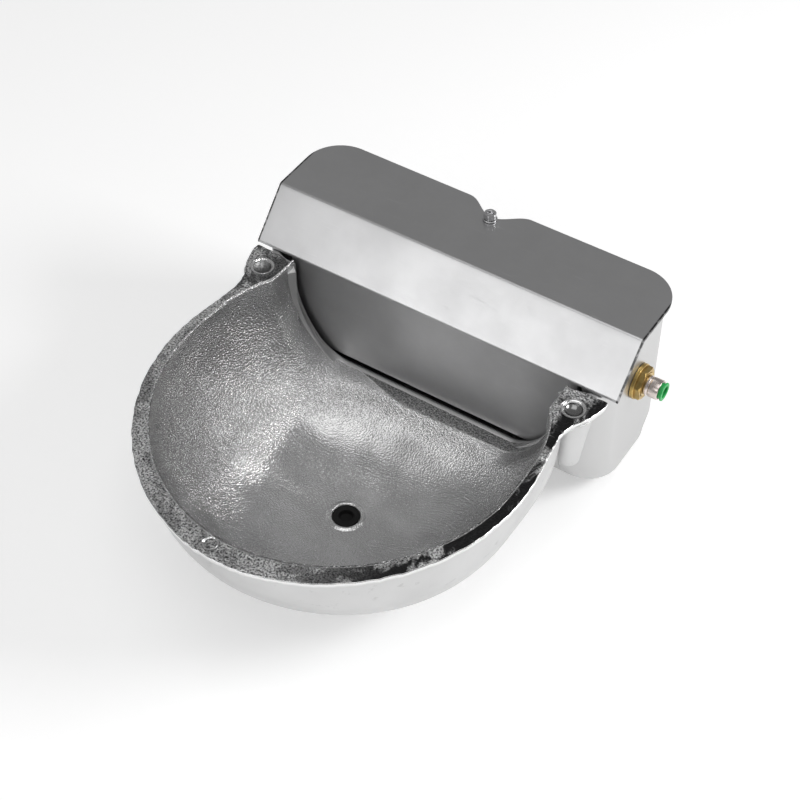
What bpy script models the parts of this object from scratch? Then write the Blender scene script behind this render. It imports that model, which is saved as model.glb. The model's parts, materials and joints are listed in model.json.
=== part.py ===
"""A constant-level livestock drinking bowl, piece by piece.

Cast aluminium bowl and float chamber in one casting, a folded stainless cover, a side-inlet float
valve and a rubber drain plug. Metres. X runs to the right, Y back to the wall, Z up. The origin is
on the wall face, in the middle, at the height of the bowl's rim.
"""

import math

import bmesh
import bpy
from mathutils import Matrix, Vector

# General
GAP = 0.0003
OVERRUN = 0.004
ROUND_STEPS = 32
SMALL_STEPS = 20
CORNER_STEPS = 6

# Bowl, measured at its rim from the bowl's centre
CENTRE_TO_WALL = 0.190
INSIDE_HALF_WIDTH = 0.1205
INSIDE_FRONT_REACH = 0.121
INSIDE_BACK_REACH = 0.100
OUTSIDE_BACK_REACH = 0.115
BOWL_DEPTH = 0.102
FLOOR_THICKNESS = 0.005
RIM_WIDTH_SIDE = 0.0087
RIM_WIDTH_FRONT = 0.0151
RIM_THICKNESS = 0.006
# How far the rim reaches past the bowl's half width behind its middle: (distance to the wall, reach)
RIM_SIDE_STATIONS = (
    (0.190, 0.0087),
    (0.178, 0.0083),
    (0.166, 0.0071),
    (0.154, 0.0051),
    (0.144, 0.0038),
    (0.137, 0.0030),
    (0.130, 0.0029),
    (0.123, 0.0045),
    (0.116, 0.0085),
    (0.110, 0.0113),
    (0.104, 0.0135),
    (0.098, 0.0145),
    (0.092, 0.0140),
    (0.088, 0.0123),
    (0.085, 0.0109),
)
RIM_SIDE_STEPS = 4
RIM_EDGE_DROP = 0.002
RIM_EDGE_SLOPE = 0.0022
LIP_SIDE = 0.003
LIP_FRONT = 0.005
FOOT_RADIUS = 0.034
FOOT_HEIGHT = 0.002
BOWL_STEPS = 64
DISH_STEPS = 11
# Powers of the superellipses that the bowl follows, in plan and in depth
PLAN_FRONT_SHARE = 1.93
PLAN_BACK_SHARE = 3.2
DEPTH_FRONT_SHARE = 2.1
DEPTH_SIDE_SHARE = 2.5
DEPTH_BACK_SHARE = 3.6

# Ears at the two ends of the rim
EAR_INSET = 0.0015
EAR_TO_WALL = 0.110
EAR_POST_RADIUS = 0.0128
EAR_POST_TIP_RADIUS = 0.007
EAR_POST_DROP = 0.048
EAR_RECESS_RADIUS = 0.0062
EAR_RECESS_DEPTH = 0.003
EAR_RING_WIDTH = 0.0015
EAR_RING_HEIGHT = 0.0006
# Rear edge of an ear's flat top: (distance from the middle, distance to the wall)
EAR_BACK_EDGE = (
    (0.1000, 0.1010),
    (0.1055, 0.0980),
    (0.1090, 0.0958),
    (0.1140, 0.0940),
    (0.1210, 0.0930),
    (0.1260, 0.0912),
    (0.1300, 0.0880),
)
EAR_BACK_STEP = 0.004

# Ejector mark on the front rim
PIP_FROM_CENTRE = 0.0065
PIP_TO_FRONT = 0.009
PIP_RADIUS = 0.0045
PIP_DEPTH = 0.0008

# Float chamber
CHAMBER_OVERHANG = 0.0115
CHAMBER_WIDTH = 0.096
CHAMBER_WALL = 0.0045
CHAMBER_BACK_RADIUS = 0.020
CHAMBER_FRONT_RADIUS = 0.022
# Round foot of the chamber: reach and rise of its front, back and ends
CHAMBER_FRONT_ROUND = (0.046, 0.045)
CHAMBER_BACK_ROUND = (0.012, 0.014)
CHAMBER_END_ROUND = (0.013, 0.016)
CHAMBER_ROUND_STEPS = 6
WALL_NOTCH_FLOOR = 0.013
WALL_PAD_DROP = 0.082
WALL_PAD_SLOPE = 0.010
WALL_PAD_STEP = 0.008

# Opening between the bowl and the float chamber
PASSAGE_INSET = 0.0155
PASSAGE_TO_FLOOR = 0.024
PASSAGE_CORNER_WIDTH = 0.038
PASSAGE_CORNER_HEIGHT = 0.056
PASSAGE_CORNER_SHARE = 1.6
PASSAGE_STEPS = 9
# The passage starts inside the bowl, at this share of the bowl's reach behind its centre
PASSAGE_START_SHARE = 0.65

# Wall bolts
BOLT_SPACING = 0.150
BOLT_HEIGHT = 0.005
BOLT_HOLE_RADIUS = 0.0045
BOLT_PAD_RADIUS = 0.011
BOLT_PAD_HEIGHT = 0.0025

# Folded cover
SHEET = 0.002
COVER_OVERHANG = 0.0066
COVER_TOP = 0.0286
COVER_TO_WALL = 0.0005
PLATE_WIDTH = 0.0590
SLANT_RUN = 0.029
SLANT_DROP = 0.0306
COVER_CORNER_RADIUS = 0.027
BEND_RADIUS = 0.003
BAFFLE_LAP = 0.005
BAFFLE_TO_LEDGE = 0.003
NOTCH_DEPTH = 0.012
NOTCH_HALF_WIDTH = 0.024
NOTCH_STEPS = 14

# Cover screw
SCREW_TO_WALL = 0.0145
SCREW_RADIUS = 0.0025
SCREW_LENGTH = 0.020
SCREW_HEAD_ACROSS = 0.008
SCREW_HEAD_HEIGHT = 0.0038
SCREW_WASHER_RADIUS = 0.005
SCREW_WASHER_THICKNESS = 0.001
SCREW_BOSS_RADIUS = 0.0065
SCREW_BOSS_DROP = 0.034

# Water inlet
INLET_TO_WALL = 0.045
INLET_DROP = 0.024
SHANK_RADIUS = 0.0082
SHANK_BORE_RADIUS = 0.0050
SHANK_STICK_OUT = 0.0070
INLET_PAD_RADIUS = 0.0155
INLET_PAD_HEIGHT = 0.002
NUT_FLANGE_RADIUS = 0.0125
NUT_FLANGE_THICKNESS = 0.0025
NUT_ACROSS = 0.0205
NUT_HEIGHT = 0.0065
WASHER_RADIUS = 0.0130
WASHER_THICKNESS = 0.0016

# Push-in coupling for the supply hose
COUPLING_RADIUS = 0.0070
COUPLING_LENGTH = 0.0100
COUPLING_SPIGOT_LENGTH = 0.0065
COUPLING_WATERWAY_RADIUS = 0.0026
COUPLING_SOCKET_RADIUS = 0.0058
COUPLING_SOCKET_DEPTH = 0.0085
COLLET_RADIUS = 0.0054
COLLET_BORE_RADIUS = 0.0041
COLLET_LENGTH = 0.0045
COLLET_FLANGE_RADIUS = 0.0064
COLLET_FLANGE_THICKNESS = 0.0012
COLLET_TRAVEL = 0.0012
GRIP_RING_THICKNESS = 0.0006
HOSE_SEAL_THICKNESS = 0.0018
HOSE_SEAL_WIDTH = 0.0016

# Float valve
VALVE_FLANGE_RADIUS = 0.0125
VALVE_FLANGE_THICKNESS = 0.003
BARREL_RADIUS = 0.0100
GUIDE_RADIUS = 0.0060
NOZZLE_LENGTH = 0.006
NOZZLE_BORE_RADIUS = 0.0020
NOZZLE_LIP_RADIUS = 0.0032
NOZZLE_LIP_HEIGHT = 0.0012
NOZZLE_TO_FLANGE = 0.007
PLUNGER_LENGTH = 0.021
PLUNGER_SLOT_LENGTH = 0.0062
PLUNGER_SLOT_TO_END = 0.0035
SEAL_RADIUS = 0.0042
SEAL_THICKNESS = 0.0028
SEAL_PROUD = 0.0006
OUTLET_RADIUS = 0.0032

# Float lever, drawn with its arm level, which is where the valve is shut
HEEL_HEIGHT = 0.011
HEEL_RADIUS = 0.0025
LEVER_SWING = math.radians(18)
LEVER_THICKNESS = 0.006
LEVER_HUB_RADIUS = 0.0046
LEVER_NECK_HALF_WIDTH = 0.0018
LEVER_ARM_LENGTH = 0.026
LEVER_ARM_HEIGHT = 0.0085
LEVER_SOCKET_DEPTH = 0.012
CHEEK_THICKNESS = 0.003
CHEEK_MARGIN = 0.0022
PIN_RADIUS = 0.0020
PIN_HEAD_RADIUS = 0.0034
PIN_HEAD_THICKNESS = 0.0014
PIN_TAIL = 0.003
CLIP_RADIUS = 0.0038
CLIP_THICKNESS = 0.0008

# Float
ROD_RADIUS = 0.0024
FLOAT_FROM_PIVOT = 0.048
FLOAT_LENGTH = 0.088
FLOAT_WIDTH = 0.056
FLOAT_HEIGHT = 0.032
FLOAT_CORNER_RADIUS = 0.012
FLOAT_EDGE_RADIUS = 0.005
FLOAT_EDGE_SHARE = 0.3
ROD_TAIL = 0.008
ROD_NUT_ACROSS = 0.008
ROD_NUT_HEIGHT = 0.004
ROD_WASHER_RADIUS = 0.0065
ROD_WASHER_THICKNESS = 0.001

# Drain
DRAIN_TOP_RADIUS = 0.0096
DRAIN_BOTTOM_RADIUS = 0.0076
DRAIN_BEAD_RADIUS = 0.0125
DRAIN_BEAD_HEIGHT = 0.0010
PLUG_HOLLOW_RADIUS = 0.0050
PLUG_HOLLOW_DEPTH = 0.0038
PLUG_SET_DOWN = 0.0004
PLUG_SHORT = 0.0010

# Heights and places that follow from the sizes above
BASE = -(BOWL_DEPTH + FLOOR_THICKNESS + FOOT_HEIGHT)
BOWL_Y = -CENTRE_TO_WALL
EAR_X = INSIDE_HALF_WIDTH - EAR_INSET
PASSAGE_HALF_WIDTH = INSIDE_HALF_WIDTH - PASSAGE_INSET
BAFFLE_HALF_LENGTH = PASSAGE_HALF_WIDTH + BAFFLE_LAP
CHAMBER_HALF_LENGTH = INSIDE_HALF_WIDTH + CHAMBER_OVERHANG
CHAMBER_FRONT = -CHAMBER_WIDTH
INSIDE_FRONT = CHAMBER_FRONT + CHAMBER_WALL
INSIDE_END = CHAMBER_HALF_LENGTH - CHAMBER_WALL
COVER_HALF_LENGTH = CHAMBER_HALF_LENGTH + COVER_OVERHANG
RIM_HALF_WIDTH = INSIDE_HALF_WIDTH + max(reach for _, reach in RIM_SIDE_STATIONS)
CLEAR_REACH = max(COVER_HALF_LENGTH, RIM_HALF_WIDTH) + OVERRUN
COVER_BACK = -COVER_TO_WALL
FOLD_Y = COVER_BACK - PLATE_WIDTH
SLANT_Y = FOLD_Y - SLANT_RUN
SLANT_Z = COVER_TOP - SLANT_DROP
PASSAGE_DEPTH = BOWL_DEPTH - PASSAGE_TO_FLOOR
BAFFLE_BOTTOM = BAFFLE_TO_LEDGE - PASSAGE_DEPTH
CASTING_TOP = COVER_TOP - SHEET - GAP
INLET = Vector((0, -INLET_TO_WALL, -INLET_DROP))
PAD_FACE = INSIDE_END - INLET_PAD_HEIGHT
FLANGE_FACE = PAD_FACE - WASHER_THICKNESS - 2 * GAP
SEAT = FLANGE_FACE - VALVE_FLANGE_THICKNESS - NOZZLE_TO_FLANGE - NOZZLE_LIP_HEIGHT
NOZZLE_BACK = SEAT + NOZZLE_LIP_HEIGHT + NOZZLE_LENGTH
VALVE_STROKE = 2 * HEEL_HEIGHT * math.sin(LEVER_SWING / 2)
SEAL_FACE = SEAT - GAP - VALVE_STROKE
PLUNGER_FACE = SEAL_FACE - SEAL_PROUD
PLUNGER_END = PLUNGER_FACE - PLUNGER_LENGTH
HEEL_X = PLUNGER_END + PLUNGER_SLOT_TO_END + PLUNGER_SLOT_LENGTH / 2
PIVOT = Vector((HEEL_X + VALVE_STROKE / 2, INLET.y, INLET.z - HEEL_HEIGHT))
CHEEK_REACH = LEVER_HUB_RADIUS + CHEEK_MARGIN
FITTING_FACE = CHAMBER_HALF_LENGTH + SHANK_STICK_OUT
COUPLING_FACE = FITTING_FACE + GAP + COUPLING_LENGTH

# Colour, metallic and roughness of each finish
FINISHES = {
    "cast_aluminium": ((0.56, 0.56, 0.56), 1.0, 0.34),
    "brushed_stainless": ((0.62, 0.62, 0.63), 1.0, 0.30),
    "bright_steel": ((0.66, 0.66, 0.67), 1.0, 0.22),
    "brass": ((0.58, 0.43, 0.17), 1.0, 0.28),
    "nickel": ((0.72, 0.66, 0.63), 1.0, 0.16),
    "green_plastic": ((0.02, 0.42, 0.10), 0.0, 0.40),
    "white_plastic": ((0.83, 0.83, 0.80), 0.0, 0.45),
    "black_rubber": ((0.02, 0.02, 0.02), 0.0, 0.70),
}


def clear_scene():
    """Removes what a new file starts with."""
    for item in list(bpy.data.objects):
        bpy.data.objects.remove(item, do_unlink=True)


def finish_material(name):
    """The material of one finish, made the first time that a piece asks for it."""
    material = bpy.data.materials.get(name)
    if material is None:
        colour, metallic, roughness = FINISHES[name]
        material = bpy.data.materials.new(name)
        material.use_nodes = True
        shader = material.node_tree.nodes["Principled BSDF"]
        shader.inputs["Base Color"].default_value = (*colour, 1)
        shader.inputs["Metallic"].default_value = metallic
        shader.inputs["Roughness"].default_value = roughness
        material.diffuse_color = (*colour, 1)
    return material


def add_object(name, bm, finish=None, place=(0, 0, 0), parent=None):
    """Turns a bmesh into an object; one with no finish is a hidden cutter or helper."""
    bmesh.ops.recalc_face_normals(bm, faces=bm.faces)
    mesh = bpy.data.meshes.new(name)
    bm.to_mesh(mesh)
    bm.free()
    item = bpy.data.objects.new(name, mesh)
    bpy.context.scene.collection.objects.link(item)
    item.location = place
    item.parent = parent
    if finish is None:
        item.hide_render = True
        item.display_type = "WIRE"
    else:
        mesh.materials.append(finish_material(finish))
        mesh.shade_smooth()
        mesh.set_sharp_from_angle(angle=math.radians(32))
    return item


def combine(item, other, operation):
    """Cuts the other object from the item, joins it on, or keeps what both fill."""
    modifier = item.modifiers.new(f"{operation.lower()} {other.name}", "BOOLEAN")
    modifier.operation = operation
    modifier.solver = "EXACT"
    modifier.object = other


def stack(rings):
    """A closed body through rings of points, one above the other, with flat ends."""
    bm = bmesh.new()
    loops = [[bm.verts.new(point) for point in ring] for ring in rings]
    for low, high in zip(loops, loops[1:]):
        for i in range(len(low)):
            j = (i + 1) % len(low)
            bm.faces.new((low[i], low[j], high[j], high[i]))
    bm.faces.new(loops[0])
    bm.faces.new(loops[-1])
    return bm


def prism(outline, axis, start, end):
    """A flat outline carried straight along X, Y or Z."""

    def at(a, b, along):
        return {"X": (along, a, b), "Y": (a, along, b), "Z": (a, b, along)}[axis]

    return stack([[at(a, b, along) for a, b in outline] for along in (start, end)])


def circle(radius, steps, middle=(0, 0), turn=0.0):
    """Points round a circle."""
    angles = [turn + 2 * math.pi * i / steps for i in range(steps)]
    return [(middle[0] + radius * math.cos(a), middle[1] + radius * math.sin(a)) for a in angles]


def hexagon(across, turn=0.0):
    """Corners of a hexagon of a given width across its flats."""
    return circle(across / math.sqrt(3), 6, turn=turn)


def turned(profile, steps, axis="X"):
    """A body turned about an axis from (place along the axis, radius) points.

    The profile closes on itself, or starts and ends on the axis with radius 0.
    """
    bm = bmesh.new()
    rings = []
    for along, radius in profile:
        if radius == 0:
            spots = [(0, 0)]
        else:
            spots = circle(radius, steps)
        points = [
            {"X": (along, a, b), "Y": (a, along, b), "Z": (a, b, along)}[axis] for a, b in spots
        ]
        rings.append([bm.verts.new(point) for point in points])
    pairs = list(zip(rings, rings[1:]))
    if len(rings[0]) > 1:
        pairs.append((rings[-1], rings[0]))
    for low, high in pairs:
        for i in range(steps):
            j = (i + 1) % steps
            corners = [low[i % len(low)], low[j % len(low)], high[j % len(high)], high[i % len(high)]]
            corners = list(dict.fromkeys(corners))
            if len(corners) > 2:
                bm.faces.new(corners)
    return bm


def box(low, high):
    """A plain block between two corners."""
    outline = [(low[0], low[1]), (high[0], low[1]), (high[0], high[1]), (low[0], high[1])]
    return prism(outline, "Z", low[2], high[2])


def arc(middle, radius, start, end, steps):
    """Points on an arc, angles in degrees."""
    angles = [math.radians(start + (end - start) * i / steps) for i in range(steps + 1)]
    return [(middle[0] + radius * math.cos(a), middle[1] + radius * math.sin(a)) for a in angles]


def rounded_rectangle(half_length, front, back, front_radius, back_radius, steps=CORNER_STEPS):
    """A plan outline with its long side along X and two radii."""
    right = (half_length - back_radius, back - back_radius)
    left = (back_radius - half_length, back - back_radius)
    near_left = (front_radius - half_length, front + front_radius)
    near_right = (half_length - front_radius, front + front_radius)
    return (
        arc(right, back_radius, 0, 90, steps)
        + arc(left, back_radius, 90, 180, steps)
        + arc(near_left, front_radius, 180, 270, steps)
        + arc(near_right, front_radius, 270, 360, steps)
    )


def bent_strip(path, thickness, bend_radius, steps=CORNER_STEPS):
    """The edge outline of a strip folded along a path of points, with round bends.

    The path is the strip's outer side. The inner side lies one thickness to its left.
    """
    outer, inner = [], []
    for i, point in enumerate(path):
        here = Vector(point)
        before = (here - Vector(path[i - 1])).normalized() if i else None
        after = (Vector(path[i + 1]) - here).normalized() if i + 1 < len(path) else None
        if before is None or after is None:
            along = after or before
            normal = Vector((-along.y, along.x))
            outer.append(here)
            inner.append(here + normal * thickness)
            continue
        turn = before.angle(after)
        back_off = bend_radius * math.tan(turn / 2)
        middle = here - before * back_off + Vector((-before.y, before.x)) * bend_radius
        start = math.atan2(before.x, -before.y) + math.pi
        for k in range(steps + 1):
            angle = start + turn * k / steps
            spoke = Vector((math.cos(angle), math.sin(angle)))
            outer.append(middle + spoke * bend_radius)
            inner.append(middle + spoke * (bend_radius - thickness))
    return [tuple(point) for point in outer + inner[::-1]]


def superellipse_reach(angle, power):
    """How far a unit superellipse reaches in a direction."""
    c, s = abs(math.cos(angle)), abs(math.sin(angle))
    return (c**power + s**power) ** (-1 / power)


def dish_ring(half_width, front, back, level_share, depth, height=0.0):
    """One ring of points round a bowl.

    In plan the bowl is a superellipse, rounder in front than behind. From the rim, where the level
    share is 1, to the middle, where it is 0, the depth follows a superellipse too, whose power
    grows from the front over the sides to the back.
    """
    points = []
    for i in range(BOWL_STEPS):
        angle = 2 * math.pi * i / BOWL_STEPS
        c, s = math.cos(angle), math.sin(angle)
        plan_power = PLAN_BACK_SHARE if s > 0 else PLAN_FRONT_SHARE
        end_power = DEPTH_BACK_SHARE if s > 0 else DEPTH_FRONT_SHARE
        power = DEPTH_SIDE_SHARE + (end_power - DEPTH_SIDE_SHARE) * s * s
        swing = level_share * math.pi / 2
        out = math.sin(swing) ** (2 / power)
        down = math.cos(swing) ** (2 / power) if level_share < 1 else 0.0
        reach = superellipse_reach(angle, plan_power) * out
        points.append(
            (half_width * c * reach, BOWL_Y + (back if s > 0 else front) * s * reach, height - depth * down)
        )
    return points


def dish(half_width, front, back, depth):
    """The closed body that fills a bowl, with a little extra above the rim."""
    levels = [(i / DISH_STEPS) for i in range(1, DISH_STEPS + 1)]
    rings = [dish_ring(half_width, front, back, level, depth) for level in levels]
    rings.append(dish_ring(half_width, front, back, 1, depth, OVERRUN))
    return stack(rings)


def smooth_path(points, steps):
    """Points on a smooth curve through the given ones."""
    path = []
    ends = [points[0], *points, points[-1]]
    for before, here, after, beyond in zip(ends, ends[1:], ends[2:], ends[3:]):
        for k in range(steps):
            t = k / steps
            path.append(tuple(
                b + t * ((c - a) + t * ((2 * a - 5 * b + 4 * c - d) + t * (3 * b - a - 3 * c + d))) / 2
                for a, b, c, d in zip(before, here, after, beyond)
            ))
    return path + [points[-1]]


def rim_outline(inset):
    """Plan outline of the rim with its ears, to just behind the float chamber's front wall."""
    front = INSIDE_FRONT_REACH + RIM_WIDTH_FRONT - inset
    half_width = INSIDE_HALF_WIDTH + RIM_WIDTH_SIDE - inset
    points = []
    for i in range(BOWL_STEPS // 2 + 1):
        angle = math.pi + 2 * math.pi * i / BOWL_STEPS
        reach = superellipse_reach(angle, PLAN_FRONT_SHARE)
        points.append((half_width * math.cos(angle) * reach, BOWL_Y + front * math.sin(angle) * reach))
    stations = smooth_path(RIM_SIDE_STATIONS, RIM_SIDE_STEPS)
    right = [(INSIDE_HALF_WIDTH + reach - inset, -to_wall) for to_wall, reach in stations]
    left = [(-x, y) for x, y in reversed(right)]
    return points + right[1:] + left[:-1]


def rim_plate():
    """The rim with its ears, whose outer edge slopes in below."""
    levels = [(-RIM_THICKNESS, RIM_EDGE_SLOPE), (-RIM_EDGE_DROP, 0), (OVERRUN, 0)]
    return stack([[(x, y, height) for x, y in rim_outline(inset)] for height, inset in levels])


def draw_in(height, inset, foot):
    """How far a wall with a round foot is drawn in at a height, and by the inset."""
    reach, rise = foot[0] - inset, foot[1] - inset
    share = 1 - min(max(height - BASE - inset, 0) / rise, 1)
    return inset + reach * (1 - math.sqrt(1 - share * share))


def chamber_ring(height, inset):
    """Plan outline of the float chamber at a height, drawn inwards by an inset."""
    step_share = min(max((-WALL_PAD_DROP - height) / WALL_PAD_SLOPE, 0), 1)
    outline = rounded_rectangle(
        CHAMBER_HALF_LENGTH - draw_in(height, inset, CHAMBER_END_ROUND),
        CHAMBER_FRONT + draw_in(height, inset, CHAMBER_FRONT_ROUND),
        -draw_in(height, inset, CHAMBER_BACK_ROUND) - WALL_PAD_STEP * step_share,
        CHAMBER_FRONT_RADIUS - inset,
        CHAMBER_BACK_RADIUS - inset,
    )
    return [(x, y, height) for x, y in outline]


def chamber(inset, top):
    """The closed body that fills the float chamber."""
    floor = BASE + inset
    levels = [-WALL_PAD_DROP - WALL_PAD_SLOPE, -WALL_PAD_DROP]
    for reach, rise in (CHAMBER_FRONT_ROUND, CHAMBER_BACK_ROUND, CHAMBER_END_ROUND):
        for i in range(1, CHAMBER_ROUND_STEPS + 1):
            quarter = math.pi / 2 * i / CHAMBER_ROUND_STEPS
            levels.append(floor + (rise - inset) * (1 - math.cos(quarter)))
    heights = [floor]
    for height in sorted(levels):
        if height - heights[-1] > 2 * GAP:
            heights.append(height)
    heights.append(top)
    return stack([chamber_ring(height, inset) for height in heights])


def passage_outline():
    """The opening's shape seen from the front: straight above, with wide round corners below."""
    corner_x = PASSAGE_HALF_WIDTH - PASSAGE_CORNER_WIDTH
    corner_z = PASSAGE_CORNER_HEIGHT - PASSAGE_DEPTH
    right = []
    for i in range(PASSAGE_STEPS + 1):
        angle = math.pi / 2 * i / PASSAGE_STEPS
        power = 2 / PASSAGE_CORNER_SHARE
        x = corner_x + PASSAGE_CORNER_WIDTH * math.cos(angle) ** power
        z = corner_z - PASSAGE_CORNER_HEIGHT * math.sin(angle) ** power
        right.append((x, z))
    right.insert(0, (PASSAGE_HALF_WIDTH, OVERRUN))
    return right + [(-x, z) for x, z in reversed(right)]


def cover_path():
    """The cover's outer side from the wall over the fold and the slant to the baffle's edge."""
    return [(COVER_BACK, COVER_TOP), (FOLD_Y, COVER_TOP), (SLANT_Y, SLANT_Z), (SLANT_Y, BAFFLE_BOTTOM)]


def cover_clearance():
    """Everything above the casting: over the rim in front, under the cover behind."""
    slope = math.atan2(SLANT_DROP, SLANT_RUN)
    under = SHEET + GAP
    fold = (FOLD_Y + under * math.tan(slope / 2), COVER_TOP - under)
    low_y = SLANT_Y - GAP
    low_z = fold[1] - (fold[0] - low_y) * math.tan(slope)
    far_front = BOWL_Y - INSIDE_FRONT_REACH - RIM_WIDTH_FRONT - OVERRUN
    high = COVER_TOP + OVERRUN
    outline = [
        (far_front, 0),
        (low_y, 0),
        (low_y, low_z),
        fold,
        (OVERRUN, fold[1]),
        (OVERRUN, high),
        (far_front, high),
    ]
    return prism(outline, "X", -CLEAR_REACH, CLEAR_REACH)


def ear_relief(side):
    """The lower step between an ear's rear edge and the cover."""
    edge = [(side * x, -to_wall) for x, to_wall in smooth_path(EAR_BACK_EDGE, RIM_SIDE_STEPS)]
    far_x = side * CLEAR_REACH
    behind = SLANT_Y + OVERRUN
    outline = [*edge, (far_x, edge[-1][1]), (far_x, behind), (edge[0][0], behind)]
    return prism(outline, "Z", -EAR_BACK_STEP, OVERRUN)


def wall_notch():
    """The opening in the casting's back wall behind the cover's notch."""
    outline = [(x, y - SHEET) for x, y in notch_curve(False)]
    outline = [(NOTCH_HALF_WIDTH, OVERRUN), *outline, *[(-x, y) for x, y in reversed(outline)]]
    outline.append((-NOTCH_HALF_WIDTH, OVERRUN))
    return prism(outline, "Z", WALL_NOTCH_FLOOR, COVER_TOP + OVERRUN)


def make_casting():
    """Bowl, rim, ears and float chamber, cast in one."""
    body_half_width = INSIDE_HALF_WIDTH + RIM_WIDTH_SIDE - LIP_SIDE
    body_front = INSIDE_FRONT_REACH + RIM_WIDTH_FRONT - LIP_FRONT
    casting = add_object(
        "bowl_casting",
        dish(body_half_width, body_front, OUTSIDE_BACK_REACH, BOWL_DEPTH + FLOOR_THICKNESS),
        "cast_aluminium",
    )
    joined, cut = [], []

    def join(name, bm, place=(0, 0, 0)):
        joined.append(add_object(name, bm, place=place))

    join("rim plate", rim_plate())
    join("chamber outside", chamber(0, COVER_TOP + OVERRUN / 2))
    middle = (0, BOWL_Y, 0)
    foot_top = BASE + FOOT_HEIGHT + FLOOR_THICKNESS
    join("foot", turned([(BASE, 0), (BASE, FOOT_RADIUS), (foot_top, FOOT_RADIUS), (foot_top, 0)],
                        ROUND_STEPS, "Z"), middle)
    for side in (-1, 1):
        post = [
            (-EAR_POST_DROP, 0),
            (-EAR_POST_DROP, EAR_POST_TIP_RADIUS),
            (-RIM_THICKNESS / 2, EAR_POST_RADIUS),
            (-RIM_THICKNESS / 2, 0),
        ]
        join(f"ear post {side}", turned(post, SMALL_STEPS, "Z"), (side * EAR_X, -EAR_TO_WALL, 0))
    for helper in joined:
        combine(casting, helper, "UNION")

    hollow = dish(INSIDE_HALF_WIDTH, INSIDE_FRONT_REACH, INSIDE_BACK_REACH, BOWL_DEPTH)
    cut.append(add_object("bowl hollow", hollow))
    cut.append(add_object("chamber hollow", chamber(CHAMBER_WALL, COVER_TOP + OVERRUN)))
    front = BOWL_Y + INSIDE_BACK_REACH * PASSAGE_START_SHARE
    cut.append(add_object("passage", prism(passage_outline(), "Y", front, INSIDE_FRONT + OVERRUN)))
    cut.append(add_object("cover clearance", cover_clearance()))
    cut.append(add_object("wall notch", wall_notch()))
    for side in (-1, 1):
        cut.append(add_object(f"ear relief {side}", ear_relief(side)))
    for helper in cut:
        combine(casting, helper, "DIFFERENCE")
    add_casting_bosses(casting)
    cut_casting_holes(casting)
    return casting


def add_casting_bosses(casting):
    """What stands up from the casting's inner faces."""
    half_wall = CHAMBER_WALL / 2
    pad = [
        (PAD_FACE, 0),
        (PAD_FACE, INLET_PAD_RADIUS),
        (INSIDE_END + half_wall, INLET_PAD_RADIUS),
        (INSIDE_END + half_wall, 0),
    ]
    helpers = [add_object("inlet pad", turned(pad, ROUND_STEPS), place=INLET)]
    boss_low = CASTING_TOP - SCREW_BOSS_DROP
    boss = [
        (boss_low, 0),
        (boss_low + SCREW_BOSS_RADIUS, SCREW_BOSS_RADIUS),
        (CASTING_TOP, SCREW_BOSS_RADIUS),
        (CASTING_TOP, 0),
    ]
    helpers.append(add_object("screw boss", turned(boss, ROUND_STEPS, "Z"), place=(0, -SCREW_TO_WALL, 0)))
    web = box(
        (-SCREW_BOSS_RADIUS / 2, -SCREW_TO_WALL, boss_low + SCREW_BOSS_RADIUS),
        (SCREW_BOSS_RADIUS / 2, -half_wall, WALL_NOTCH_FLOOR - GAP),
    )
    helpers.append(add_object("screw boss web", web))
    for side in (-1, 1):
        bolt_pad = [
            (-CHAMBER_WALL - BOLT_PAD_HEIGHT, 0),
            (-CHAMBER_WALL - BOLT_PAD_HEIGHT, BOLT_PAD_RADIUS),
            (-half_wall, BOLT_PAD_RADIUS),
            (-half_wall, 0),
        ]
        place = (side * BOLT_SPACING / 2, 0, BOLT_HEIGHT)
        helpers.append(add_object(f"bolt pad {side}", turned(bolt_pad, ROUND_STEPS, "Y"), place=place))
        ring = [
            (-RIM_THICKNESS / 2, EAR_RECESS_RADIUS),
            (-RIM_THICKNESS / 2, EAR_RECESS_RADIUS + EAR_RING_WIDTH),
            (EAR_RING_HEIGHT, EAR_RECESS_RADIUS + EAR_RING_WIDTH),
            (EAR_RING_HEIGHT, EAR_RECESS_RADIUS),
        ]
        place = (side * EAR_X, -EAR_TO_WALL, 0)
        helpers.append(add_object(f"ear ring {side}", turned(ring, ROUND_STEPS, "Z"), place=place))
    floor = -BOWL_DEPTH
    bead = [
        (floor - FLOOR_THICKNESS / 2, 0),
        (floor - FLOOR_THICKNESS / 2, DRAIN_BEAD_RADIUS),
        (floor + DRAIN_BEAD_HEIGHT / 2, DRAIN_BEAD_RADIUS),
        (floor + DRAIN_BEAD_HEIGHT, (DRAIN_BEAD_RADIUS + DRAIN_TOP_RADIUS) / 2),
        (floor + DRAIN_BEAD_HEIGHT, 0),
    ]
    helpers.append(add_object("drain bead", turned(bead, ROUND_STEPS, "Z"), place=(0, BOWL_Y, 0)))
    for helper in helpers:
        combine(casting, helper, "UNION")


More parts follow.
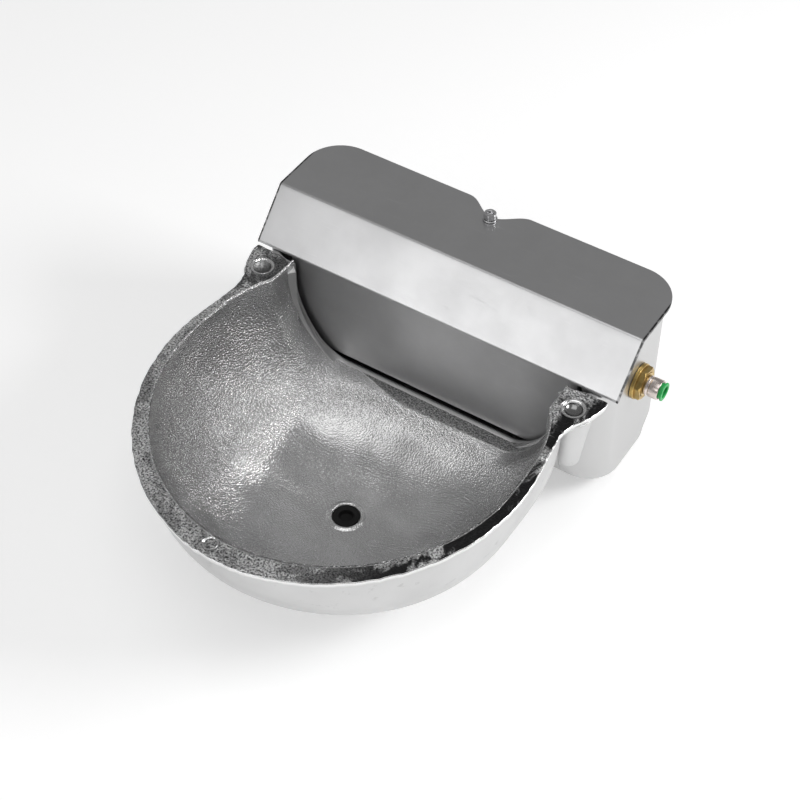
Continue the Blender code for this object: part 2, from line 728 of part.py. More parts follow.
def cut_casting_holes(casting):
    """The holes and shallow marks in the casting."""
    shank_hole = SHANK_RADIUS + GAP
    inlet = [
        (PAD_FACE - OVERRUN, 0),
        (PAD_FACE - OVERRUN, shank_hole),
        (CHAMBER_HALF_LENGTH + OVERRUN, shank_hole),
        (CHAMBER_HALF_LENGTH + OVERRUN, 0),
    ]
    helpers = [add_object("inlet hole", turned(inlet, ROUND_STEPS), place=INLET)]
    screw_hole = SCREW_RADIUS + GAP
    screw_low = COVER_TOP - SCREW_LENGTH - OVERRUN
    screw = [
        (screw_low, 0),
        (screw_low + screw_hole, screw_hole),
        (COVER_TOP + OVERRUN, screw_hole),
        (COVER_TOP + OVERRUN, 0),
    ]
    helpers.append(add_object("screw hole", turned(screw, ROUND_STEPS, "Z"), place=(0, -SCREW_TO_WALL, 0)))
    for side in (-1, 1):
        inner = -CHAMBER_WALL - BOLT_PAD_HEIGHT - OVERRUN
        bolt = [(inner, 0), (inner, BOLT_HOLE_RADIUS), (OVERRUN, BOLT_HOLE_RADIUS), (OVERRUN, 0)]
        place = (side * BOLT_SPACING / 2, 0, BOLT_HEIGHT)
        helpers.append(add_object(f"bolt hole {side}", turned(bolt, SMALL_STEPS, "Y"), place=place))
        recess = [
            (-EAR_RECESS_DEPTH, 0),
            (-EAR_RECESS_DEPTH * 2 / 3, EAR_RECESS_RADIUS * 2 / 3),
            (0, EAR_RECESS_RADIUS),
            (OVERRUN, EAR_RECESS_RADIUS),
            (OVERRUN, 0),
        ]
        place = (side * EAR_X, -EAR_TO_WALL, 0)
        helpers.append(add_object(f"ear recess {side}", turned(recess, ROUND_STEPS, "Z"), place=place))
    pip = [(-PIP_DEPTH, 0), (-PIP_DEPTH, PIP_RADIUS), (OVERRUN, PIP_RADIUS), (OVERRUN, 0)]
    pip_y = BOWL_Y - INSIDE_FRONT_REACH - RIM_WIDTH_FRONT + PIP_TO_FRONT
    helpers.append(add_object("pip", turned(pip, SMALL_STEPS, "Z"), place=(-PIP_FROM_CENTRE, pip_y, 0)))
    slope = (DRAIN_TOP_RADIUS - DRAIN_BOTTOM_RADIUS) / (FLOOR_THICKNESS + FOOT_HEIGHT + DRAIN_BEAD_HEIGHT)
    top = -BOWL_DEPTH + DRAIN_BEAD_HEIGHT
    drain = [
        (BASE - OVERRUN, 0),
        (BASE - OVERRUN, DRAIN_BOTTOM_RADIUS - slope * OVERRUN),
        (top + OVERRUN, DRAIN_TOP_RADIUS + slope * OVERRUN),
        (top + OVERRUN, 0),
    ]
    helpers.append(add_object("drain hole", turned(drain, ROUND_STEPS, "Z"), place=(0, BOWL_Y, 0)))
    for helper in helpers:
        combine(casting, helper, "DIFFERENCE")


def notch_curve(to_slot):
    """Right half of the notch at the cover's rear edge, from its end to the middle or the slot."""
    stop = SCREW_RADIUS + 2 * GAP if to_slot else GAP
    points = []
    for i in range(NOTCH_STEPS):
        x = NOTCH_HALF_WIDTH * (1 - i / NOTCH_STEPS)
        if x > stop:
            points.append((x, COVER_BACK - NOTCH_DEPTH * (1 + math.cos(math.pi * x / NOTCH_HALF_WIDTH)) / 2))
    return points


def cover_plan():
    """The cover seen from above, with its round rear corners and the notch for the screw."""
    reach = COVER_HALF_LENGTH
    front = SLANT_Y - OVERRUN
    radius = COVER_CORNER_RADIUS
    right = [(reach, front)]
    right += arc((reach - radius, COVER_BACK - radius), radius, 0, 90, CORNER_STEPS)
    slot = SCREW_RADIUS + 2 * GAP
    notch = notch_curve(True)
    notch.append((slot, COVER_BACK - NOTCH_DEPTH))
    half_round = arc((0, -SCREW_TO_WALL), slot, 0, -180, CORNER_STEPS)
    left = [(-x, y) for x, y in reversed(right + notch)]
    return right + notch + half_round + left


def make_cover():
    """One folded sheet: flat top, slanted front and a baffle that hangs down to the ledge."""
    reach = COVER_HALF_LENGTH
    strip = bent_strip(cover_path(), SHEET, BEND_RADIUS)
    cover = add_object("cover", prism(strip, "X", -reach, reach), "brushed_stainless")
    plan = prism(cover_plan(), "Z", BAFFLE_BOTTOM - OVERRUN, COVER_TOP + OVERRUN)
    combine(cover, add_object("cover plan", plan), "INTERSECT")
    slope = math.atan2(SLANT_DROP, SLANT_RUN)
    bend_start = SLANT_Z + BEND_RADIUS * math.tan(math.pi / 4 - slope / 2) * math.sin(slope)
    for side in (-1, 1):
        ends = sorted((side * BAFFLE_HALF_LENGTH, side * (reach + OVERRUN)))
        low = (ends[0], SLANT_Y - OVERRUN, BAFFLE_BOTTOM - OVERRUN)
        high = (ends[1], SLANT_Y + SHEET + OVERRUN, bend_start)
        combine(cover, add_object(f"baffle end {side}", box(low, high)), "DIFFERENCE")
    return cover


def make_cover_screw():
    """The hexagon screw that holds the cover down, and its washer."""
    place = (0, -SCREW_TO_WALL, 0)
    washer_low = COVER_TOP + GAP
    washer_top = washer_low + SCREW_WASHER_THICKNESS
    hole = SCREW_RADIUS + GAP
    ring = [
        (washer_low, hole),
        (washer_low, SCREW_WASHER_RADIUS),
        (washer_top, SCREW_WASHER_RADIUS),
        (washer_top, hole),
    ]
    add_object("cover_washer", turned(ring, SMALL_STEPS, "Z"), "bright_steel", place)
    head_low = washer_top + GAP
    low = head_low - SCREW_LENGTH
    shaft = [
        (low, 0),
        (low + SCREW_RADIUS / 2, SCREW_RADIUS),
        (head_low + SCREW_HEAD_HEIGHT / 2, SCREW_RADIUS),
        (head_low + SCREW_HEAD_HEIGHT / 2, 0),
    ]
    screw = add_object("cover_screw", turned(shaft, SMALL_STEPS, "Z"), "bright_steel", place)
    head = prism(hexagon(SCREW_HEAD_ACROSS), "Z", head_low, head_low + SCREW_HEAD_HEIGHT)
    combine(screw, add_object("screw head", head, place=place), "UNION")


def make_valve_body():
    """Brass body: shank through the wall, flange, barrel and the cheeks that carry the pin."""
    end = PLUNGER_END + PLUNGER_SLOT_TO_END - GAP
    outer = [
        (FITTING_FACE, SHANK_BORE_RADIUS),
        (FITTING_FACE, SHANK_RADIUS),
        (FLANGE_FACE, SHANK_RADIUS),
        (FLANGE_FACE, VALVE_FLANGE_RADIUS),
        (FLANGE_FACE - VALVE_FLANGE_THICKNESS, VALVE_FLANGE_RADIUS),
        (FLANGE_FACE - VALVE_FLANGE_THICKNESS, BARREL_RADIUS),
        (end, BARREL_RADIUS),
        (end, GUIDE_RADIUS),
        (NOZZLE_BACK, GUIDE_RADIUS),
        (NOZZLE_BACK, SHANK_BORE_RADIUS),
    ]
    body = add_object("valve_body", turned(outer, ROUND_STEPS), "brass", INLET)
    cheek_y = LEVER_THICKNESS / 2 + GAP + CHEEK_THICKNESS
    low_z = -HEEL_HEIGHT - LEVER_HUB_RADIUS
    block = box(
        (PIVOT.x - CHEEK_REACH, -cheek_y, low_z),
        (PIVOT.x + CHEEK_REACH, cheek_y, -GUIDE_RADIUS - GAP),
    )
    combine(body, add_object("cheek block", block, place=INLET), "UNION")
    slot_y = LEVER_THICKNESS / 2 + GAP
    slot = box(
        (PIVOT.x - CHEEK_REACH - OVERRUN, -slot_y, low_z - OVERRUN),
        (PIVOT.x + LEVER_HUB_RADIUS + 2 * GAP, slot_y, 0),
    )
    combine(body, add_object("lever slot", slot, place=INLET), "DIFFERENCE")
    eye = [(-cheek_y - OVERRUN, 0), (-cheek_y - OVERRUN, PIN_RADIUS + GAP)]
    eye += [(cheek_y + OVERRUN, PIN_RADIUS + GAP), (cheek_y + OVERRUN, 0)]
    combine(body, add_object("pin hole", turned(eye, SMALL_STEPS, "Y"), place=PIVOT), "DIFFERENCE")
    outlet_x = SEAL_FACE + VALVE_STROKE / 2
    outlet = [(-BARREL_RADIUS - OVERRUN, 0), (-BARREL_RADIUS - OVERRUN, OUTLET_RADIUS)]
    outlet += [(-GUIDE_RADIUS / 2, OUTLET_RADIUS), (-GUIDE_RADIUS / 2, 0)]
    place = (outlet_x, INLET.y, INLET.z)
    combine(body, add_object("outlet", turned(outlet, SMALL_STEPS, "Z"), place=place), "DIFFERENCE")


def make_nozzle():
    """The replaceable seat that the plunger's seal closes."""
    radius = GUIDE_RADIUS - GAP
    shoulder = SEAT + NOZZLE_LIP_HEIGHT
    back = NOZZLE_BACK - GAP
    profile = [
        (back, NOZZLE_BORE_RADIUS),
        (back, radius),
        (shoulder, radius),
        (shoulder, NOZZLE_LIP_RADIUS),
        (SEAT, (NOZZLE_LIP_RADIUS + NOZZLE_BORE_RADIUS) / 2),
        (SEAT, NOZZLE_BORE_RADIUS),
    ]
    add_object("valve_nozzle", turned(profile, ROUND_STEPS), "white_plastic", INLET)


def make_plunger():
    """The sliding plunger, with a slot for the lever's heel and a rubber seal in its nose."""
    radius = GUIDE_RADIUS - GAP
    pocket = SEAL_RADIUS + GAP
    pocket_floor = PLUNGER_FACE - (SEAL_THICKNESS - SEAL_PROUD) - GAP
    profile = [
        (PLUNGER_END, 0),
        (PLUNGER_END, radius),
        (PLUNGER_FACE, radius),
        (PLUNGER_FACE, pocket),
        (pocket_floor, pocket),
        (pocket_floor, 0),
    ]
    plunger = add_object("valve_plunger", turned(profile, ROUND_STEPS), "brass", INLET)
    slot_half = LEVER_THICKNESS / 2 + GAP
    slot = box(
        (HEEL_X - PLUNGER_SLOT_LENGTH / 2, -slot_half, -radius - OVERRUN),
        (HEEL_X + PLUNGER_SLOT_LENGTH / 2, slot_half, HEEL_RADIUS + 2 * GAP),
    )
    combine(plunger, add_object("heel slot", slot, place=INLET), "DIFFERENCE")
    seal = [
        (pocket_floor + GAP, 0),
        (pocket_floor + GAP, SEAL_RADIUS),
        (SEAL_FACE, SEAL_RADIUS),
        (SEAL_FACE, 0),
    ]
    add_object("plunger_seal", turned(seal, ROUND_STEPS), "black_rubber", INLET)


def make_lever(axis):
    """The lever on its pin: a heel up into the plunger, an arm out to the rod."""
    half = LEVER_THICKNESS / 2
    tilt = LEVER_SWING / 2
    up = Vector((math.sin(tilt), math.cos(tilt)))
    tip = up * HEEL_HEIGHT
    lean = math.degrees(tilt)
    below = math.degrees(math.acos(LEVER_NECK_HALF_WIDTH / HEEL_RADIUS))
    foot = math.degrees(math.acos(LEVER_NECK_HALF_WIDTH / LEVER_HUB_RADIUS))
    arm_top = LEVER_ARM_HEIGHT / 2
    neck_left = Vector((-up.y, up.x)) * LEVER_NECK_HALF_WIDTH
    corner = neck_left + up * ((arm_top - neck_left.y) / up.y)
    outline = arc(tuple(tip), HEEL_RADIUS, 180 - lean + below, -lean - below, 2 * CORNER_STEPS)
    outline += arc((0, 0), LEVER_HUB_RADIUS, foot - lean, -90, CORNER_STEPS)
    outline += [
        (-LEVER_HUB_RADIUS, -arm_top),
        (-LEVER_ARM_LENGTH, -arm_top),
        (-LEVER_ARM_LENGTH, arm_top),
        tuple(corner),
    ]
    lever = add_object("float_lever", prism(outline, "Y", -half, half), "brass", parent=axis)
    eye = [(-half - OVERRUN, 0), (-half - OVERRUN, PIN_RADIUS + GAP)]
    eye += [(half + OVERRUN, PIN_RADIUS + GAP), (half + OVERRUN, 0)]
    combine(lever, add_object("lever eye", turned(eye, SMALL_STEPS, "Y"), parent=axis), "DIFFERENCE")
    socket = ROD_RADIUS + GAP
    start = -LEVER_ARM_LENGTH - OVERRUN
    end = -LEVER_ARM_LENGTH + LEVER_SOCKET_DEPTH
    hole = turned([(start, 0), (start, socket), (end, socket), (end, 0)], SMALL_STEPS)
    combine(lever, add_object("rod socket", hole, parent=axis), "DIFFERENCE")


def make_lever_pin():
    """The pin through both cheeks, headed at one end and clipped at the other."""
    cheek = LEVER_THICKNESS / 2 + GAP + CHEEK_THICKNESS + GAP
    head = -cheek - PIN_HEAD_THICKNESS
    tail = cheek + CLIP_THICKNESS + PIN_TAIL
    groove = PIN_RADIUS - CLIP_THICKNESS / 2
    profile = [
        (head, 0),
        (head, PIN_HEAD_RADIUS),
        (-cheek, PIN_HEAD_RADIUS),
        (-cheek, PIN_RADIUS),
        (cheek, PIN_RADIUS),
        (cheek, groove),
        (cheek + CLIP_THICKNESS + 2 * GAP, groove),
        (cheek + CLIP_THICKNESS + 2 * GAP, PIN_RADIUS),
        (tail, PIN_RADIUS),
        (tail, 0),
    ]
    add_object("lever_pin", turned(profile, SMALL_STEPS, "Y"), "bright_steel", PIVOT)
    low = cheek + GAP
    bore = groove + GAP
    ring = [
        (low, bore),
        (low, CLIP_RADIUS),
        (low + CLIP_THICKNESS, CLIP_RADIUS),
        (low + CLIP_THICKNESS, bore),
    ]
    add_object("lever_pin_clip", turned(ring, SMALL_STEPS, "Y"), "bright_steel", PIVOT)


def make_float(axis):
    """The float on its rod, held between two nuts and two washers."""
    far = -FLOAT_FROM_PIVOT - FLOAT_LENGTH
    tail = far - ROD_TAIL
    start = -LEVER_ARM_LENGTH + LEVER_SOCKET_DEPTH - GAP
    rod = [(tail, 0), (tail, ROD_RADIUS), (start, ROD_RADIUS), (start, 0)]
    add_object("float_rod", turned(rod, SMALL_STEPS), "bright_steel", parent=axis)
    levels = [
        (-FLOAT_HEIGHT / 2, FLOAT_EDGE_RADIUS),
        (-FLOAT_HEIGHT / 2 + FLOAT_EDGE_RADIUS * FLOAT_EDGE_SHARE, FLOAT_EDGE_RADIUS * FLOAT_EDGE_SHARE),
        (-FLOAT_HEIGHT / 2 + FLOAT_EDGE_RADIUS, 0),
    ]
    levels += [(-height, inset) for height, inset in reversed(levels)]
    middle = -FLOAT_FROM_PIVOT - FLOAT_LENGTH / 2
    rings = []
    for height, inset in levels:
        radius = FLOAT_CORNER_RADIUS - inset
        half_width = FLOAT_WIDTH / 2 - inset
        outline = rounded_rectangle(FLOAT_LENGTH / 2 - inset, -half_width, half_width, radius, radius)
        rings.append([(middle + x, y, height) for x, y in outline])
    body = add_object("float_body", stack(rings), "white_plastic", parent=axis)
    bore = ROD_RADIUS + GAP
    hole = [(far - OVERRUN, 0), (far - OVERRUN, bore)]
    hole += [(-FLOAT_FROM_PIVOT + OVERRUN, bore), (-FLOAT_FROM_PIVOT + OVERRUN, 0)]
    combine(body, add_object("float bore", turned(hole, SMALL_STEPS), parent=axis), "DIFFERENCE")
    for name, face, way in (("near", -FLOAT_FROM_PIVOT, 1), ("far", far, -1)):
        low = face + way * GAP
        high = low + way * ROD_WASHER_THICKNESS
        ring = [(low, bore), (low, ROD_WASHER_RADIUS), (high, ROD_WASHER_RADIUS), (high, bore)]
        add_object(f"float_washer_{name}", turned(ring, SMALL_STEPS), "bright_steel", parent=axis)
        nut_low = high + way * GAP
        nut_high = nut_low + way * ROD_NUT_HEIGHT
        nut = prism(hexagon(ROD_NUT_ACROSS), "X", nut_low, nut_high)
        nut_object = add_object(f"float_nut_{name}", nut, "brass", parent=axis)
        ends = (min(nut_low, nut_high) - OVERRUN, max(nut_low, nut_high) + OVERRUN)
        drill = turned([(ends[0], 0), (ends[0], bore), (ends[1], bore), (ends[1], 0)], SMALL_STEPS)
        combine(nut_object, add_object(f"nut bore {name}", drill, parent=axis), "DIFFERENCE")


def make_inlet_fitting():
    """Seal inside the wall, flanged lock nut outside it and the push-in coupling."""
    bore = SHANK_RADIUS + GAP
    low = PAD_FACE - GAP - WASHER_THICKNESS
    high = PAD_FACE - GAP
    ring = [(low, bore), (low, WASHER_RADIUS), (high, WASHER_RADIUS), (high, bore)]
    add_object("inlet_washer", turned(ring, ROUND_STEPS), "black_rubber", INLET)
    face = CHAMBER_HALF_LENGTH + GAP
    flange_top = face + NUT_FLANGE_THICKNESS
    flange = [
        (face, bore),
        (face, NUT_FLANGE_RADIUS),
        (flange_top, NUT_FLANGE_RADIUS),
        (flange_top, bore),
    ]
    nut = add_object("inlet_lock_nut", turned(flange, ROUND_STEPS), "brass", INLET)
    hexed = prism(hexagon(NUT_ACROSS, math.radians(12)), "X", flange_top - GAP, face + NUT_HEIGHT)
    hexed_object = add_object("nut hexagon", hexed, place=INLET)
    drill_ends = (face - OVERRUN, face + NUT_HEIGHT + OVERRUN)
    drill = turned([(drill_ends[0], 0), (drill_ends[0], bore), (drill_ends[1], bore), (drill_ends[1], 0)],
                   ROUND_STEPS)
    combine(nut, hexed_object, "UNION")
    combine(nut, add_object("nut bore", drill, place=INLET), "DIFFERENCE")
    make_coupling()


def make_coupling():
    """The push-in coupling: shell, hose seal, grip ring and the collet that is pressed to let go."""
    shoulder = FITTING_FACE + GAP
    spigot = SHANK_BORE_RADIUS - GAP
    socket_floor = COUPLING_FACE - COUPLING_SOCKET_DEPTH
    shell = [
        (shoulder - COUPLING_SPIGOT_LENGTH, COUPLING_WATERWAY_RADIUS),
        (shoulder - COUPLING_SPIGOT_LENGTH, spigot),
        (shoulder, spigot),
        (shoulder, COUPLING_RADIUS),
        (COUPLING_FACE, COUPLING_RADIUS),
        (COUPLING_FACE, COUPLING_SOCKET_RADIUS),
        (socket_floor, COUPLING_SOCKET_RADIUS),
        (socket_floor, COUPLING_WATERWAY_RADIUS),
    ]
    add_object("inlet_coupling", turned(shell, ROUND_STEPS), "nickel", INLET)
    outer = COUPLING_SOCKET_RADIUS - GAP
    seal_low = socket_floor + GAP
    seal_high = seal_low + HOSE_SEAL_THICKNESS
    seal = [
        (seal_low, outer - HOSE_SEAL_WIDTH),
        (seal_low, outer),
        (seal_high, outer),
        (seal_high, outer - HOSE_SEAL_WIDTH),
    ]
    add_object("hose_seal", turned(seal, ROUND_STEPS), "black_rubber", INLET)
    grip_low = seal_high + GAP
    grip_high = grip_low + GRIP_RING_THICKNESS
    grip = [(grip_low, COLLET_BORE_RADIUS), (grip_low, outer), (grip_high, outer)]
    grip += [(grip_high, COLLET_BORE_RADIUS)]
    add_object("hose_grip_ring", turned(grip, ROUND_STEPS), "bright_steel", INLET)
    flange_low = COUPLING_FACE + COLLET_TRAVEL + GAP
    flange_high = flange_low + COLLET_FLANGE_THICKNESS
    nose = flange_low - COLLET_LENGTH
    collet = [
        (nose, COLLET_BORE_RADIUS),
        (nose, COLLET_RADIUS),
        (flange_low, COLLET_RADIUS),
        (flange_low, COLLET_FLANGE_RADIUS),
        (flange_high, COLLET_FLANGE_RADIUS),
        (flange_high, COLLET_BORE_RADIUS),
    ]
    add_object("release_collet", turned(collet, ROUND_STEPS), "green_plastic", INLET)


def make_drain_plug():
    """A tapered rubber plug with a hollow top, pushed into the drain from inside the bowl."""
    top = -BOWL_DEPTH + DRAIN_BEAD_HEIGHT
    slope = (DRAIN_TOP_RADIUS - DRAIN_BOTTOM_RADIUS) / (FLOOR_THICKNESS + FOOT_HEIGHT + DRAIN_BEAD_HEIGHT)
    high = top - PLUG_SET_DOWN
    low = BASE + PLUG_SHORT
    profile = [
        (low, 0),
        (low, DRAIN_TOP_RADIUS - slope * (top - low) - GAP),
        (high, DRAIN_TOP_RADIUS - slope * (top - high) - GAP),
        (high, PLUG_HOLLOW_RADIUS),
        (high - PLUG_HOLLOW_DEPTH, PLUG_HOLLOW_RADIUS),
        (high - PLUG_HOLLOW_DEPTH, 0),
    ]
    add_object("drain_plug", turned(profile, ROUND_STEPS, "Z"), "black_rubber", (0, BOWL_Y, 0))


def lever_axis():
    """The lever's axis. At rest the chamber is dry and the float hangs down."""
    axis = bpy.data.objects.new("lever axis", None)
    bpy.context.scene.collection.objects.link(axis)
    axis.matrix_world = Matrix.Translation(PIVOT) @ Matrix.Rotation(-LEVER_SWING, 4, "Y")
    return axis


def main():
    """Builds every piece."""
    clear_scene()
    make_casting()
    make_cover()
    make_cover_screw()
    make_valve_body()
    make_nozzle()
    make_plunger()
    make_lever_pin()
    axis = lever_axis()
    make_lever(axis)
    make_float(axis)
    make_inlet_fitting()
    make_drain_plug()


main()
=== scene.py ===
import json
import math

import bmesh
import bpy
import numpy as np
from mathutils import Matrix, Vector


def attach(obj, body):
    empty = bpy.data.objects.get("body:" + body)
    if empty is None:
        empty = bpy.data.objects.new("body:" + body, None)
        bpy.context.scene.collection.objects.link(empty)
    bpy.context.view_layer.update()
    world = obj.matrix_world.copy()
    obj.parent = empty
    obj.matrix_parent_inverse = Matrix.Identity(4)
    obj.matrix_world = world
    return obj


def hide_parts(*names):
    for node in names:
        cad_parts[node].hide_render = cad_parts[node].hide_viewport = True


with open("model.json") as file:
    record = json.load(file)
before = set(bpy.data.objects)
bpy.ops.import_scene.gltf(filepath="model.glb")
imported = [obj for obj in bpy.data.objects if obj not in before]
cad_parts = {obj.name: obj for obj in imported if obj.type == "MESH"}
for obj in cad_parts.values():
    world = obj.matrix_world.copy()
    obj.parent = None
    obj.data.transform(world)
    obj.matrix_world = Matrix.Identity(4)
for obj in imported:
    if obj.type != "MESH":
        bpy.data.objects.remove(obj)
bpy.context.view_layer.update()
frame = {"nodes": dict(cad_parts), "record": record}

bl_info = {
    "name": "Livestock drinking bowl",
    "version": (1, 0, 0),
    "blender": (4, 5, 0),
    "location": "3D View > Sidebar > Drinker",
    "description": "Makes the finished surfaces of a cast drinking bowl with a float valve under a folded cover",
    "category": "Add Mesh",
}

# Sizes that the finished surfaces share with the solids, in metres
WALL_TO_CENTRE = 0.190
HALF_WIDTH = 0.1205
FRONT_REACH = 0.121
BACK_REACH = 0.100
DEPTH = 0.102
BODY_HALF_WIDTH = 0.1262
BODY_FRONT = 0.131
BODY_BACK = 0.115
BODY_DEPTH = 0.107
PLAN_FRONT_POWER = 1.93
PLAN_BACK_POWER = 3.2
DEPTH_FRONT_POWER = 2.1
DEPTH_SIDE_POWER = 2.5
DEPTH_BACK_POWER = 3.6
RIM_SIDE = 0.0087
RIM_FRONT = 0.0151
RIM_THICK = 0.006
RIM_SLOPE = 0.0022
RIM_STATIONS = np.array([
    (0.190, 0.1292), (0.178, 0.1288), (0.166, 0.1276), (0.154, 0.1256), (0.144, 0.1243),
    (0.137, 0.1235), (0.130, 0.1234), (0.123, 0.1250), (0.116, 0.1290), (0.110, 0.1318),
    (0.104, 0.1340), (0.098, 0.1350), (0.092, 0.1345), (0.088, 0.1328), (0.085, 0.1314),
    (0.080, 0.1300),
])
EAR_X = 0.119
EAR_Y = -0.110
EAR_BACK = np.array([
    (0.1000, -0.1010), (0.1055, -0.0980), (0.1090, -0.0958), (0.1140, -0.0940),
    (0.1210, -0.0930), (0.1260, -0.0912), (0.1300, -0.0880), (0.1400, -0.0800),
])
EAR_STEP = 0.004
RECESS_RADIUS = 0.0066
RING_RADIUS = 0.0081
BASE = -0.109
FOOT_RADIUS = 0.034
DRAIN_RADIUS = 0.0096
DRAIN_BOTTOM = 0.0076
BEAD_REACH = 0.0145
BEAD_HEIGHT = 0.0010
CHAMBER_HALF = 0.132
CHAMBER_REAR_HALF = 0.112
CHAMBER_FRONT_HALF = 0.110
CHAMBER_DEEP = 0.096
CHAMBER_MIDDLE = -0.045
CHAMBER_WALL = 0.0045
FRONT_CORNER = 0.022
BACK_CORNER = 0.020
FRONT_ROUND = (0.046, 0.045)
BACK_ROUND = (0.012, 0.014)
END_ROUND = (0.013, 0.016)
PAD_DROP = 0.082
PAD_SLOPE = 0.010
PAD_STEP = 0.008
CASTING_TOP = 0.0263
PASSAGE_HALF = 0.105
PASSAGE_LOW = -0.078
PASSAGE_CORNER = 0.038
PASSAGE_RISE = 0.056
PASSAGE_SHARE = 1.6
PASSAGE_MEETS = 0.1176
WALL_MIDDLE = 0.0935
CAST_EDGE = 0.0007
INLET = (0.0, -0.045, -0.024)
BOLT_X = 0.075
BOLT_Z = 0.005
BOLT_RADIUS = 0.0045
FRONT_MARK = (-0.0065, -0.317)

# The folded sheet
SHEET = 0.002
COVER_HALF = 0.1386
COVER_TOP = 0.0286
COVER_REAR = -0.0005
FOLD_Y = -0.0595
SLANT_Y = -0.0885
SLANT_Z = -0.002
BAFFLE_LOW = -0.075
BAFFLE_HALF = 0.110
COVER_CORNER = 0.027
BEND = 0.003
NOTCH_DEEP = 0.012
NOTCH_HALF = 0.024
NOTCH_INNER = NOTCH_HALF - 0.0016
SLOT_HALF = 0.0031
SCREW_Y = -0.0145


# ---- Geometry helpers

def smoothstep(value, low, high):
    """Eases from 0 at low to 1 at high: 3t^2 - 2t^3."""
    t = np.clip((value - low) / (high - low), 0.0, 1.0)
    return t * t * (3.0 - 2.0 * t)


def soft_max(a, b, radius):
    """The larger of two values, with a round crossing: log of the sum of exponentials."""
    top = np.maximum(a, b)
    return top + radius * np.log(np.exp((a - top) / radius) + np.exp((b - top) / radius))


def waves(x, y, z, length, seed, count=18):
    """Soft bumps of about a given length: a sum of sines that run in many directions."""
    rng = np.random.default_rng(seed)
    total = np.zeros_like(x)
    for _ in range(count):
        way = rng.normal(size=3)
        way *= 2 * math.pi / (length * rng.uniform(0.7, 1.6) * np.linalg.norm(way))
        total = total + np.sin(way[0] * x + way[1] * y + way[2] * z + rng.uniform(0, 2 * math.pi))
    return total / math.sqrt(count / 2)


def grid_mesh(name, points, close_rows=False, close_columns=False, closed=True, attributes=None):
    """A mesh through a grid of points, rows by columns, with seams and poles merged.

    Corner (i, j) joins (i+1, j), (i+1, j+1) and (i, j+1). A closed surface whose volume comes out
    negative is turned so that its faces look outwards.
    """
    rows, columns = points.shape[:2]
    i = np.arange(rows if close_rows else rows - 1)
    j = np.arange(columns if close_columns else columns - 1)
    ii, jj = np.meshgrid(i, j, indexing="ij")
    i2, j2 = (ii + 1) % rows, (jj + 1) % columns
    quads = np.stack([ii * columns + jj, i2 * columns + jj, i2 * columns + j2, ii * columns + j2], axis=-1)
    quads = quads.reshape(-1, 4)
    flat = points.reshape(-1, 3)
    if closed:
        a, b, c, d = (flat[quads[:, k]] for k in range(4))
        volume = np.einsum("ij,ij->i", np.cross(b - a, c - a) + np.cross(c - a, d - a), a).sum()
        if volume < 0:
            quads = quads[:, ::-1]
    mesh = bpy.data.meshes.new(name)
    mesh.vertices.add(len(flat))
    mesh.vertices.foreach_set("co", np.ascontiguousarray(flat, dtype=np.float32).ravel())
    mesh.loops.add(quads.size)
    mesh.loops.foreach_set("vertex_index", np.ascontiguousarray(quads, dtype=np.int32).ravel())
    mesh.polygons.add(len(quads))
    mesh.polygons.foreach_set("loop_start", np.arange(0, quads.size, 4, dtype=np.int32))
    mesh.update(calc_edges=True)
    for label, values in (attributes or {}).items():
        layer = mesh.attributes.new(label, "FLOAT", "POINT")
        layer.data.foreach_set("value", np.ascontiguousarray(values, dtype=np.float32).ravel())
    bm = bmesh.new()
    bm.from_mesh(mesh)
    bmesh.ops.remove_doubles(bm, verts=bm.verts, dist=2e-6)
    bm.to_mesh(mesh)
    bm.free()
    mesh.validate()
    return mesh


def joined(rows):
    """One grid for each value that the rows hold. A value that doesn't vary is spread along its row."""
    return [np.concatenate([row[k] + 0 * row[0] for row in rows]) for k in range(len(rows[0]))]


def add_piece(name, mesh, body, material, smooth=35.0, replaces=()):
    """Links a finished piece, and says what carries it and which nodes it stands for."""
    item = bpy.data.objects.new(name, mesh)
    bpy.context.scene.collection.objects.link(item)
    mesh.materials.clear()
    mesh.materials.append(material)
    mesh.shade_smooth()
    if smooth:
        mesh.set_sharp_from_angle(angle=math.radians(smooth))
    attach(item, body)
    if replaces:
        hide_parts(*replaces)
    return item


def add_cast_part(name, mesh, material, skin=1.9, smooth=40):
    """Links a smaller piece of the casting with one kind of skin all over."""
    layer = mesh.attributes.new("skin", "FLOAT", "POINT")
    layer.data.foreach_set("value", np.full(len(mesh.vertices), skin, dtype=np.float32))
    add_piece(name, mesh, "casting", material, smooth)


def applied(item):
    """Bakes an object's modifiers into its mesh."""
    graph = bpy.context.evaluated_depsgraph_get()
    mesh = bpy.data.meshes.new_from_object(item.evaluated_get(graph))
    old = item.data
    item.modifiers.clear()
    item.data = mesh
    bpy.data.meshes.remove(old)
    return mesh


def rounded_profile(corners, steps=4):
    """Rounds the corners of a closed profile.

    Corners are (along, radius, rounding). Each is replaced by a quadratic curve between the points
    that lie one rounding away from it on its two edges.
    """
    spots = np.array([corner[:2] for corner in corners], dtype=float)
    rounds = [corner[2] for corner in corners]
    t = np.linspace(0, 1, steps + 1)[:, None]
    path = []
    for k, spot in enumerate(spots):
        if rounds[k] == 0:
            path.append(spot[None, :])
            continue
        before, after = spots[k - 1] - spot, spots[(k + 1) % len(spots)] - spot
        a = spot + before * min(rounds[k] / np.linalg.norm(before), 0.5)
        b = spot + after * min(rounds[k] / np.linalg.norm(after), 0.5)
        path.append((1 - t) ** 2 * a + 2 * t * (1 - t) * spot + t ** 2 * b)
    return np.concatenate(path)


